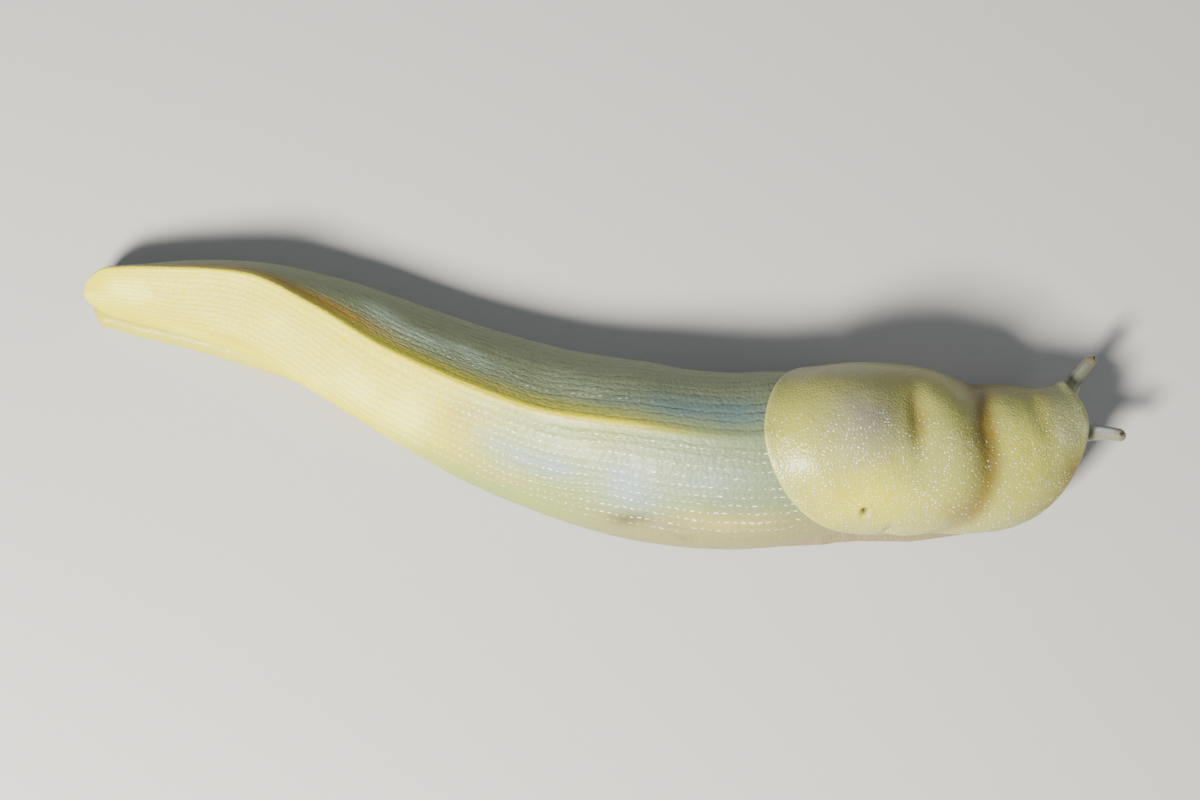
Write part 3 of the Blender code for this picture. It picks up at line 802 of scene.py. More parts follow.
@dataclass
class BodySkin:
    """The skin of the body and foot: strips of rings, each ring closed under the sole."""

    shape: BodyShape
    relief: SkinRelief
    mouth: Mouth
    island: Island = Island((0.004, 0.004), (0.996, 0.555))
    unwrapped_girth: float = 118.0
    face_from: float = 160.0
    relief_margin: Pair = (0.0, 0.08)
    relief_ends: Pair = (0.0, 0.6)
    comb_rise: Pair = (0.3, 0.9)
    comb_ends: Pair = (0.0, 0.5)
    mouth_reach: Pair = (-3.2, -1.2)
    mouth_rise: Pair = (2.1, 2.7)
    # The marks' own numbers. An edge is two stations and a side two section places: where it starts and where
    # it is full. Drift and patches are noise: its strength, its length and its rate across.
    drift: Triple = (0.04, 6.0, 5.0)
    patches: Triple = (0.6, 9.0, 4.0)
    patch_shift: float = 20.0
    patch_loss: float = 0.05
    # The left flank, which the finish paints grey-green: partly the skin's own colour, partly painted shade.
    # It widens towards the front.
    groove_side: Pair = (0.93, 1.0)
    far_side: Pair = (-0.01, 0.09)
    far_widening: float = 0.05
    far_widening_edge: Pair = (60, 110)
    front_edge: Pair = (58, 88)
    front_lead: float = 10.0
    front_lead_side: Pair = (0.4, 0.62)
    front_drift: float = 60.0
    moss_edge: Pair = (88, 110)
    moss_lean: float = 20.0
    low_edge: Pair = (84, 102)
    low_side: Pair = (0.34, 0.52)
    rows_end: Pair = (124, 132)
    face_edge: Pair = (140, 155)
    keel: Line = Line(0.006, 0.028, ((18, 34), (88, 116)))
    # Painted shadow: brown bands on the left side just beyond the keel, where the ridge shades the flank; the
    # rear band, then the narrower front one.
    umber: Line = Line(0.085, 0.06, ((6, 22), (44, 62)))
    bronze: Line = Line(0.062, 0.034, ((42, 60), (84, 116)))
    # Where glints are painted along the rows: the side, the start, the share and where they are most; and a
    # line of painted glints on the left flank.
    glint_side: Span = ((0.02, 0.06), (0.5, 0.62))
    glint_edge: Pair = (5, 12)
    glint_share: Pair = (0.75, 0.25)
    glint_most: Pair = (90, 16)
    far_glints: Line = Line(0.16, 0.04, ((46, 58), (92, 112)), 0.8)
    pale_spots: Spots = (
        (53, -0.33, 4.5, 0.12, 0.9), (63, -0.34, 3.5, 0.11, 0.7), (7, -0.3, 4, 0.2, 0.6),
        (22, -0.4, 5, 0.1, 0.5),
    )
    warm_spots: Spots = (
        (71, -0.15, 4, 0.10, 0.9), (78.5, -0.43, 4.5, 0.07, 1.0), (13, -0.25, 2, 0.05, 0.8),
        (29, -0.60, 9, 0.07, 0.8), (38, -0.2, 6, 0.10, 0.5), (47, -0.14, 4, 0.06, 0.4),
        (66, -0.52, 6, 0.05, 0.4),
    )
    # Painted sheen: grey-blue patches on the right flank where the wet skin would reflect the sky.
    painted_sheen_spots: Spots = (
        (86.5, -0.27, 6.0, 0.09, 1.0), (99.5, -0.31, 4.5, 0.13, 1.0), (78, -0.24, 4.0, 0.07, 0.5),
        (111, -0.22, 5.0, 0.08, 0.45),
    )
    # Painted sheen: pale blue-grey patches on the left flank where the wet skin would reflect the sky.
    painted_far_sheen_spots: Spots = (
        (51, 0.27, 3.5, 0.08, 1.0), (60, 0.20, 6.0, 0.06, 0.9), (69, 0.21, 4.0, 0.07, 0.8),
        (86, 0.22, 8.0, 0.08, 0.3),
    )
    # Painted shade: dark blue-grey on the front of the left flank, the shade there with the sky's reflection
    # in it.
    painted_blue_shade_spots: Spots = (
        (105, 0.12, 9.0, 0.13, 0.9), (116, 0.16, 6.0, 0.14, 0.8), (92, 0.10, 6.0, 0.05, 0.4),
    )
    smudge_spots: Spots = (
        (99.3, -0.55, 2.1, 0.07, 1.0), (101.5, -0.48, 1.8, 0.06, 0.7), (108, -0.62, 1.2, 0.03, 0.4),
        (46, 0.46, 4.0, 0.1, 0.4),
    )
    tan_spots: Spots = (
        (80, -0.45, 5, 0.06, 0.8), (113, -0.46, 5.5, 0.07, 1.0), (92, -0.12, 5, 0.05, 0.4),
        (74, -0.1, 3, 0.06, 0.5),
    )
    strips: tuple[Strip, ...] = (
        Strip(0.0, 5.0, 22, 71, 4, 12, 5),
        Strip(5.0, 40.0, 106, 91, 4, 12, 5),
        Strip(40.0, 80.0, 117, 121, 4, 12, 5),
        Strip(80.0, 121.0, 119, 145, 4, 12, 5),
        Strip(121.0, 162.0, 72, 65, 6, 12, 5),
        Strip(162.0, 166.0, 10, 65, 16, 12, 5),
        Strip(166.0, 173.0, 46, 65, 22, 12, 5),
    )

    def stations(self, strip: Strip) -> Array:
        """A strip's stations: even, or at even turns round the drawn-in end where it ends the body."""
        if strip.start == 0:
            turn = np.linspace(0, math.pi / 2, strip.rows)
            return strip.end * (1 - np.cos(turn))
        share = np.linspace(0, 1, strip.rows + 1)[1:]
        if strip.end == self.shape.head_front:
            share = np.sin(share * math.pi / 2) ** (2 / self.shape.snout_power)
        return strip.start + (strip.end - strip.start) * share

    def half_ring(self, s: Array, side: Side, strip: Strip) -> tuple[Array, Array]:
        """The lower half of the rings on one side, from the middle of the sole up to the back.

        Args:
            s: Stations.
            side: Which side.
            strip: How finely the ring is divided.

        Returns:
            Points, stations by columns by three, and the column's kind: 0 sole, 1 fringe, 2 groove.
        """
        shape, sign = self.shape, side.value
        fringe, swell, foot_share = shape.foot_edge(s, side)
        seat = np.minimum(np.maximum(fringe - shape.seat_inset, 0), shape.seat_share * fringe)
        thin = shape.foot_end_thinning + (1 - shape.foot_end_thinning) * foot_share
        knots = [(np.maximum(fringe - inset * foot_share, 0), height) for inset, height in shape.fringe_knots]
        outward, height = shape.fringe_shoulder
        knots.append((outward * fringe + (1 - outward) * seat, height))
        knots.append((seat, shape.seat_height))
        edge = np.full_like(s, float(sign))
        rim = shape.back(s, edge)
        body_share, _ = shape.end_share(s)
        across_rim = np.abs(shape.section(s, edge)[0]) * body_share
        floor = np.maximum(np.minimum(across_rim, seat + swell) - shape.groove_depth * foot_share, 0)
        foot = shape.foot_station(s)
        lower = [shape.spine.point(foot, sign * (place + swell), up * thin) for place, up in knots]
        bottom = shape.spine.point((foot + s) / 2, sign * floor, shape.groove_floor * thin)
        curve = through(np.stack([*lower, bottom], axis=1), strip.fringe)
        t = np.linspace(0, 1, strip.groove + 2)[None, 1:-1, None]
        face = bottom[:, None] * (1 - t) + rim[:, None] * t
        sole_t = np.linspace(0, 1, strip.sole + 1)[None, :-1, None]
        middle = shape.spine.point(foot, foot * 0, foot * 0)
        sole = middle[:, None] * (1 - sole_t) + curve[:, :1] * sole_t
        kinds = [0] * strip.sole + [1] * strip.fringe + [2] * strip.groove
        return np.concatenate([sole, curve, face], axis=1), np.array(kinds)

    def add_to(self, skin: SkinMesh) -> None:
        """Adds the strips to the skin and joins each to the one before it."""
        before = None
        for strip in self.strips:
            number = skin.add(self.patch(strip))
            if before is not None:
                skin.join(before[-1], number[0], Finish.BODY)
            before = number

    def patch(self, strip: Strip) -> Patch:
        """One strip of skin with its relief.

        Args:
            strip: The strip.

        Returns:
            The patch: rings of the plain form, moved outwards by granules, waves, the fringe's comb and the
            mouth, with the sole kept flat.
        """
        s = self.stations(strip)
        v = np.linspace(-1, 1, strip.back)
        right, kinds = self.half_ring(s, Side.RIGHT, strip)
        left, _ = self.half_ring(s, Side.LEFT, strip)
        back = self.shape.back(s[:, None], v[None, :])
        points = np.concatenate([right, back, left[:, ::-1]], axis=1)
        kind = np.broadcast_to(np.concatenate([kinds, np.full(strip.back, 3), kinds[::-1]]), points.shape[:2])
        sides = np.full(len(kinds), 1.0)
        place_v = np.broadcast_to(np.concatenate([-sides, v, sides]), points.shape[:2])
        girth, half = self.girths(points, len(kinds), strip.back)
        station = np.broadcast_to(s[:, None], girth.shape)
        across = self.relief.row_place(station, girth, half)
        share, _ = self.shape.end_share(station)
        grain = self.relief.height(station, across)
        margin = smooth_step(1 - np.abs(place_v), *self.relief_margin) * smooth_step(share, *self.relief_ends)
        rise = (grain + self.relief.waves(station, across)) * margin * (kind == 3)
        upper = smooth_step(points[..., 2], *self.comb_rise) * smooth_step(share, *self.comb_ends)
        rise = rise + self.relief.comb(station, across) * upper * (kind == 1) + self.head_relief(points)
        points = points + grid_normals(points) * rise[..., None]
        points[..., 2] = np.where(kind == 0, 0.0, np.maximum(points[..., 2], 0.0))
        flat = np.stack([station / self.shape.head_front, 0.5 + girth / self.unwrapped_girth], axis=-1)
        lie = np.stack([station, across, np.zeros_like(across)], axis=-1)
        if strip.start >= self.face_from:
            lie = points + np.array([FACE_SHIFT, 0.0, 0.0])
        marks = self.marks(station, place_v, kind)
        return Patch(points, self.island.place(flat), lie, marks, Finish.BODY)

    def girths(self, points: Array, below: int, back: int) -> tuple[Array, Array]:
        """Lengths round the rings.

        Args:
            points: Rings of points.
            below: How many columns lie below the back on each side.
            back: How many columns the back has.

        Returns:
            Each point's length round the ring from the ridge, less than nought on the right, and the mean
            length from the ridge to the back's lower edge.
        """
        steps = np.linalg.norm(np.diff(points, axis=1), axis=-1)
        length = np.concatenate([np.zeros((len(points), 1)), np.cumsum(steps, axis=1)], axis=1)
        ridge = below + back // 2
        length = length - length[:, ridge : ridge + 1]
        return length, (length[:, [below + back - 1]] - length[:, [below]]) / 2

    def head_relief(self, points: Array) -> Array:
        """Height of the mouth's forms on the front of the head."""
        place, heading = self.shape.spine.place(np.array(self.shape.head_front))
        offset = points[..., :2] - place
        across = offset @ np.array([-heading[1], heading[0]])
        height = points[..., 2]
        front = smooth_step(offset @ heading, *self.mouth_reach) * smooth_step(height, *self.mouth_rise)
        return self.mouth.relief(across, height) * front

    def marks(self, s: Array, v: Array, kind: Array) -> dict[str, Array]:
        """Masks that the body's finish reads.

        Args:
            s: Stations.
            v: Section places.
            kind: Each point's kind of column.

        Returns:
            Masks by name, from 0 to 1.
        """
        strength, length, rate = self.drift
        drift = strength * clouds(s / length, v * rate, Seed.BODY_DRIFT)
        strength, length, rate = self.patches
        patches = strength * clouds(s / length, v * rate + self.patch_shift, Seed.BODY_PATCHES)
        w = v + drift
        rows = (kind == 3) * (1 - smooth_step(s, *self.rows_end))
        least, more = self.glint_share
        # Painted glints: where near-white highlights are painted along the rows.
        glints = band(-v, self.glint_side) * smooth_step(s, *self.glint_edge)
        glints = glints * (least + more * bell(s, *self.glint_most)) + self.far_glints.mask(s, v)
        groove = smooth_step(np.abs(v), *self.groove_side) * (kind == 3)
        far_from, far_to = self.far_side
        far_to = far_to + self.far_widening * smooth_step(s, *self.far_widening_edge)
        lead = self.front_lead * smooth_step(-v, *self.front_lead_side) + self.front_drift * drift
        return {
            "foot": np.where(kind <= 1, 1.0, 0.0),
            "groove": np.where(kind == 2, 1.0, groove),
            "far": smooth_step(v, far_from, far_to),
            "front": smooth_step(s + lead, *self.front_edge),
            "moss": smooth_step(s + self.moss_lean * w, *self.moss_edge),
            "low": smooth_step(s, *self.low_edge) * smooth_step(-w, *self.low_side),
            "pale": np.clip(spots(s, w, self.pale_spots) + patches - self.patch_loss, 0, 1),
            "warm": np.clip(spots(s, w, self.warm_spots) - patches - self.patch_loss, 0, 1),
            "mist": np.clip(spots(s, w, self.painted_sheen_spots), 0, 1),
            "haze": np.clip(spots(s, w, self.painted_far_sheen_spots), 0, 1),
            "slate": np.clip(spots(s, w, self.painted_blue_shade_spots), 0, 1),
            "keel": self.keel.mask(s, v),
            "umber": self.umber.mask(s, v),
            "bronze": self.bronze.mask(s, v),
            "smudge": np.clip(spots(s, w, self.smudge_spots), 0, 1),
            "tan": np.clip(spots(s, w, self.tan_spots), 0, 1),
            "wet": np.clip(glints * rows, 0, 1),
            "rows": rows,
            "face": smooth_step(s, *self.face_edge) * (kind == 3),
        }


def outward(surface: Callable[[Array, Array], Array], s: Array, v: Array) -> Array:
    """Unit normals of a surface of (station, place), from its slopes over small steps both ways."""
    along = surface(s + STATION_STEP, v) - surface(s - STATION_STEP, v)
    across = surface(s, v + PLACE_STEP) - surface(s, v - PLACE_STEP)
    return unit(np.cross(along, across))


@dataclass
class MantleShape:
    """The mantle: a shield over the front of the body, with a fold across it and a hood over the head."""

    body: BodyShape
    side: Profile = Profile(((112, 1.0), (126, 1.0), (144, 1.5), (160, 1.6), (174, 1.4)))
    rise: Profile = Profile((
        (112, 1.0), (126, 2.3), (136, 3.4), (145, 3.6), (156, 3.4), (165, 2.9), (174, 2.0),
    ))
    rear: float = 118.9
    rear_sweep: float = 16.5
    rear_power: float = 1.7
    front: float = 173.6
    front_sweep: Pair = (15.1, 6.75)
    front_power: float = 2.1
    corner_sweep: float = 3.5
    corner_power: float = 9.0
    margin_v: float = 0.85
    rim: float = 1.0
    ramp: float = 7.0
    clearance: float = 0.3
    girth: float = 26.0
    swellings: Spots = (
        (135.0, 0.02, 7.0, 0.28, 0.8),
        (143.6, 0.05, 1.5, 0.20, -1.1),
        (141.2, 0.10, 3.0, 0.24, -0.6),
        (149.0, 0.00, 3.2, 0.45, 0.6),
        (164.8, 0.1, 1.6, 0.4, -0.3),
        (168.6, 0.70, 3.05, 0.24, -1.35),
        (172.35, 0.44, 1.25, 0.14, 1.1),
    )
    fold: float = 155.5
    fold_sweep: Pair = (-12.0, 3.0)
    fold_reach: float = 2.5
    fold_power: float = 1.8
    fold_depth: float = -1.2
    fold_fade: float = 0.8
    pore: Pair = (134.4, -0.49)
    pore_reach: Pair = (0.75, 0.6)
    pore_depth: float = 0.75
    pore_ring: Triple = (0.12, 1.9, 0.6)
    notch: Pair = (140.3, -0.76)
    notch_reach: Pair = (1.0, 0.11)
    notch_depth: float = 1.0

    def rear_edge(self, v: Array) -> Array:
        """Station of the rear edge: a power of the distance from the ridge, turned in at the corner."""
        x = np.abs(v / self.margin_v)
        return self.rear + self.rear_sweep * x**self.rear_power + self.corner_sweep * x**self.corner_power

    def front_edge(self, v: Array) -> Array:
        """Station of the front edge, made in the same way as the rear one."""
        x = np.abs(v / self.margin_v)
        right, left = self.front_sweep
        sweep = np.where(v < 0, right, left) * x**self.front_power
        return self.front - sweep - self.corner_sweep * x**self.corner_power

    def fold_line(self, v: Array) -> Array:
        """Station of the fold across the mantle."""
        right, left = self.fold_sweep
        return self.fold + np.where(v < 0, right * np.abs(v) ** self.fold_power, left * np.abs(v))

    def cross_fold(self, s: Array, v: Array) -> Array:
        """How deep in the fold across the mantle a place lies, from 0 to 1."""
        return bell(s - self.fold_line(v), 0, self.fold_reach) * (1 - self.fold_fade * np.abs(v))

    def folds(self, s: Array, v: Array) -> Array:
        """Height of the swellings and folds over the plain arch, a sum of bells."""
        return self.fold_depth * self.cross_fold(s, v) + spots(s, v, self.swellings)

    def pore_relief(self, s: Array, v: Array) -> Array:
        """Height of the breathing pore: a dimple in a low raised ring; and of the notch in the edge below."""
        along, across = self.pore_reach
        away = np.hypot((s - self.pore[0]) / along, (v - self.pore[1]) * self.girth / across)
        rise, *ring = self.pore_ring
        dimple = rise * bell(away, *ring) - self.pore_depth * bell(away, 0, 1.0)
        place, reach = self.notch, self.notch_reach
        return dimple - self.notch_depth * bell(s, place[0], reach[0]) * bell(v, place[1], reach[1])

    def arch(self, s: Array, v: Array) -> Array:
        """The plain arch of the mantle, without its folds."""
        half = self.body.flank_half(s) + self.side(s) + self.body.shoulder_swell(s, v)
        top = self.body.back_height(s) + self.rise(s)
        return self.body.spine.point(s, *self.body.dome(half, top, 0.0, v))

    def outside(self, s: Array, v: Array) -> Array:
        """The outer surface: the body's own raised by the rim, swelling over a ramp to the folded arch."""
        arch = self.arch(s, v) + outward(self.arch, s, v) * self.folds(s, v)[..., None]
        seated = self.body.core(s, v) + self.rim * outward(self.body.core, s, v)
        part = smooth_step((s - self.rear_edge(v)) / self.ramp, 0, 1)[..., None]
        return seated * (1 - part) + arch * part

    def inside(self, s: Array, v: Array) -> Array:
        """The inner surface, just clear of the body."""
        return self.body.core(s, v) + self.clearance * outward(self.body.core, s, v)


@dataclass
class MantleSkin:
    """The mantle's skin: a fine outer sheet and a coarse inner one, which meet in a rounded rim."""

    shape: MantleShape
    rows: int = 128
    columns: int = 131
    inner_rows: int = 26
    inner_columns: int = 29
    rim_steps: int = 7
    rim_radius: float = 1.0
    granule: float = 0.72
    granule_height: float = 0.07
    granule_middle: Pair = (0.2, 0.6)
    granule_radius: Pair = (0.5, 0.35)
    waves: Pairs = ((0.12, 7.0), (0.06, 2.6))
    relief_edge: Pair = (0.1, 1.6)
    # The marks' own numbers, as for the body. A fold's pair is how far in front of the fold line its shade
    # lies, and its reach. Its share is how dark it is, and what is lost of that to the side.
    drift: Triple = (0.08, 4.0, 7.0)
    fold_dark: Pair = (0.2, 1.6)
    fold_dark_share: Pair = (0.75, 0.55)
    fold_brown: Pair = (-1.2, 2.2)
    fold_brown_share: Pair = (0.5, 0.8)
    fold_brown_side: Pair = (0.2, 0.6)
    shade_most: float = 0.9
    lilac_place: Pair = (134.5, 0.02)
    lilac_reach: Pair = (7.0, 0.25)
    lilac_size: float = 0.85
    lip_width: Pair = (0.3, 1.6)
    lip_side: Pair = (0.1, 0.4)
    lip_loss: float = 0.6
    far_side: Pair = (0.1, 0.5)
    front_edge: Pair = (165.5, 168.5)
    front_drift: float = 8.0
    front_middle: float = 0.09
    front_width: Pair = (0.26, 0.42)
    # Painted shade in the pore: its strength and reach.
    hollow: Pair = (1.4, 0.6)
    # Where glints are painted: the side, the least share, what the fold takes away, and the edge.
    painted_glint_side: Pair = (-0.22, 0.02)
    painted_glint_least: float = 0.7
    painted_glint_fold_loss: float = 0.75
    painted_glint_edge: Pair = (0.2, 0.8)
    yellow_spots: Spots = (
        (135, -0.42, 9, 0.20, 1.1), (124, -0.1, 6, 0.3, 0.35), (161.5, -0.16, 3.5, 0.15, 0.5),
        (159, -0.42, 3, 0.2, 0.3),
    )
    painted_glint_spots: Spots = (
        (121, -0.3, 3.0, 0.25, 0.7), (130, -0.1, 5.0, 0.12, 0.3), (146, -0.1, 2.0, 0.2, 0.4),
        (161, -0.25, 3.0, 0.15, 0.4), (135, -0.35, 8.0, 0.12, 0.3), (168, -0.1, 1.2, 0.1, 0.5),
    )
    shade_spots: Spots = (
        (165.6, 0.0, 1.0, 0.2, 0.3), (168, -0.46, 3.0, 0.13, 0.8), (149.5, -0.5, 3.0, 0.12, 0.5),
        (163, 0.45, 6, 0.18, 0.6), (166, -0.64, 7, 0.12, 0.6),
        (143.9, 0.03, 1.2, 0.13, 0.65), (142.0, 0.16, 2.4, 0.2, 0.3),
    )
    # Painted highlights: pale spots on the hood, at the rim of the pore and by the hood's crease.
    painted_highlight_spots: Spots = (
        (172.8, -0.19, 1.0, 0.06, 1.0), (135.3, -0.53, 0.45, 0.02, 0.8), (167.4, -0.12, 0.7, 0.06, 0.4),
    )
    outer_island: Island = Island((0.004, 0.57), (0.60, 0.996))
    inner_island: Island = Island((0.62, 0.57), (0.80, 0.996))

    def spread(self, count: int, length: Array, radius: Array) -> Array:
        """Distances from one edge to the other, even in the middle and crowded round both rims.

        Args:
            count: How many, rims included.
            length: The whole length, one number or one for each column.
            radius: How wide the rim's rounding is.

        Returns:
            Distances, count by the shape of length: a cosine's crowding over each rim, then even steps.
        """
        bow = 1 - np.cos(np.linspace(0, math.pi / 2, self.rim_steps + 1))
        even = np.linspace(0, 1, count - 2 * self.rim_steps)[1:-1]
        length, radius = np.asarray(length, float)[None], np.asarray(radius, float)
        ends = bow.reshape(-1, *([1] * (length.ndim - 1))) * radius
        middle = radius + (length - 2 * radius) * even.reshape(-1, *([1] * (length.ndim - 1)))
        return np.concatenate([ends + 0 * length, middle, length - ends[::-1]])

    def sheet(self, rows: int, columns: int) -> tuple[Array, Array, Array, Array]:
        """The grid of one sheet.

        Args:
            rows: How many rows from rear to front.
            columns: How many columns from right to left.

        Returns:
            Stations, section places, the rim's fullness from 0 at the edge to 1, and distances to the edge.
        """
        shape = self.shape
        v = self.spread(columns, np.array(2 * shape.margin_v), self.rim_radius / shape.girth) - shape.margin_v
        start, end = shape.rear_edge(v), shape.front_edge(v)
        away = self.spread(rows, end - start, self.rim_radius)
        s = start + away
        place = np.broadcast_to(v, s.shape)
        along = np.minimum(away, end - start - away)
        aside = (shape.margin_v - np.abs(place)) * shape.girth
        fullness = np.ones_like(s)
        for distance in (along, aside):
            fullness = fullness * np.sqrt(1 - np.clip(1 - distance / self.rim_radius, 0, 1) ** 2)
        return s, place, fullness, np.minimum(along, aside)

    def grains(self, s: Array, across: Array) -> Array:
        """Height of the mantle's fine granules.

        Args:
            s: Stations in millimetres.
            across: Distances across in millimetres.

        Returns:
            The highest of the round bumps about nine jittered middles, (1 - (r / radius)^2), from 0 to 1.
        """
        x, y = s / self.granule, across / self.granule
        column, row = np.floor(x), np.floor(y)
        (start, spread), (least, more) = self.granule_middle, self.granule_radius
        best = np.zeros_like(x)
        for step in range(9):
            a, b = column + step // 3 - 1, row + step % 3 - 1
            middle_x = a + start + spread * hashed(a, b, Seed.MIDDLE_ALONG)
            middle_y = b + start + spread * hashed(a, b, Seed.MIDDLE_ACROSS)
            radius = least + more * hashed(a, b, Seed.MIDDLE_RADIUS)
            best = np.maximum(best, 1 - ((x - middle_x) ** 2 + (y - middle_y) ** 2) / radius**2)
        return best

    def flat(self, s: Array, v: Array) -> Array:
        """Shares of the way over the sheet, from rear to front and from right to left."""
        shape = self.shape
        along = (s - shape.rear) / (shape.front - shape.rear)
        return np.stack([along, (v / shape.margin_v + 1) / 2], axis=-1)

    def add_to(self, skin: SkinMesh) -> None:
        """Adds both sheets to the skin and closes the rim round them."""
        shape = self.shape
        s, v, fullness, away = self.sheet(self.rows, self.columns)
        inner, outer = shape.inside(s, v), shape.outside(s, v)
        mean = inner + (outer - inner) * (0.5 + 0.5 * fullness)[..., None]
        across = v * shape.girth
        grain = self.grains(s, across)
        (height, length), (small_height, small_length) = self.waves
        waves = height * clouds(s / length, across / length, Seed.MANTLE_WAVES)
        small = clouds(s / small_length, across / small_length, Seed.MANTLE_SMALL_WAVES)
        waves = waves + small_height * small
        rise = grain * self.granule_height + waves + shape.pore_relief(s, v)
        top = mean + grid_normals(mean) * (rise * smooth_step(away, *self.relief_edge))[..., None]
        lie = np.stack([s, across, np.full_like(s, MANTLE_LAYER)], axis=-1)
        marks = self.marks(s, v, grain, away)
        upper = skin.add(Patch(top, self.outer_island.place(self.flat(s, v)), lie, marks, Finish.MANTLE))
        s, v, fullness, _ = self.sheet(self.inner_rows, self.inner_columns)
        inner, outer = shape.inside(s, v), shape.outside(s, v)
        under = (inner + (outer - inner) * (0.5 - 0.5 * fullness)[..., None])[:, ::-1]
        place = self.inner_island.place(self.flat(s, v))[:, ::-1]
        lie = np.stack([s, v * shape.girth, np.full_like(s, UNDER_LAYER)], axis=-1)
        below = Patch(under, place, lie[:, ::-1], {}, Finish.MANTLE)
        lower = skin.add(below)[:, ::-1]
        skin.join(lower[0], upper[0], Finish.MANTLE)
        skin.join(upper[-1], lower[-1], Finish.MANTLE)
        skin.join(upper[:, 0], lower[:, 0], Finish.MANTLE)
        skin.join(lower[:, -1], upper[:, -1], Finish.MANTLE)

    def marks(self, s: Array, v: Array, grain: Array, away: Array) -> dict[str, Array]:
        """Masks that the mantle's finish reads, from 0 to 1, by name.

        Args:
            s: Stations.
            v: Section places.
            grain: Height of the granules.
            away: Distances from the edge in millimetres.

        Returns:
            The granules' tops, the coloured patches, the painted shade of the folds and of a few darker
            spots, the painted highlights, the lip, the painted shade in the pore and the side where glints
            are painted.
        """
        shape = self.shape
        strength, length, rate = self.drift
        drift = strength * clouds(s / length, v * rate, Seed.MANTLE_DRIFT)
        from_fold = s - shape.fold_line(v)
        most, loss = self.fold_dark_share
        fold = bell(from_fold, *self.fold_dark) * (most - loss * np.abs(v))
        most, loss = self.fold_brown_share
        brown = most * bell(from_fold, *self.fold_brown) * (1 - loss * smooth_step(-v, *self.fold_brown_side))
        # Where glints are painted: on the right side, fewer in the fold and near the edge.
        wet = smooth_step(-v, *self.painted_glint_side) * (self.painted_glint_least + spots(s, v, self.painted_glint_spots))
        wet = wet * (1 - self.painted_glint_fold_loss * np.clip(fold, 0, 1)) * smooth_step(away, *self.painted_glint_edge)
        (middle_s, middle_v), (along, across) = self.lilac_place, self.lilac_reach
        from_lilac = np.hypot((s - middle_s) / along, (v - middle_v) / across)
        from_pore = np.hypot(s - shape.pore[0], (v - shape.pore[1]) * shape.girth)
        strength, reach = self.hollow
        lip = (1 - smooth_step(away, *self.lip_width)) * (1 - self.lip_loss * smooth_step(v, *self.lip_side))
        beside = 1 - smooth_step(np.abs(v - self.front_middle), *self.front_width)
        return {
            "tops": np.clip(grain, 0, 1),
            "lilac": bell(from_lilac + drift, 0, self.lilac_size),
            "shade": np.clip(fold + brown + spots(s, v, self.shade_spots), 0, self.shade_most),
            "gloss": np.clip(spots(s, v, self.painted_highlight_spots), 0, 1),
            "lip": lip,
            "far": smooth_step(v, *self.far_side),
            "front": smooth_step(s + drift * self.front_drift, *self.front_edge) * beside,
            "warm": np.clip(spots(s, v + drift, self.yellow_spots), 0, 1),
            "hollow": np.clip(strength * bell(from_pore, 0, reach), 0, 1),
            "wet": np.clip(wet, 0, 1),
        }


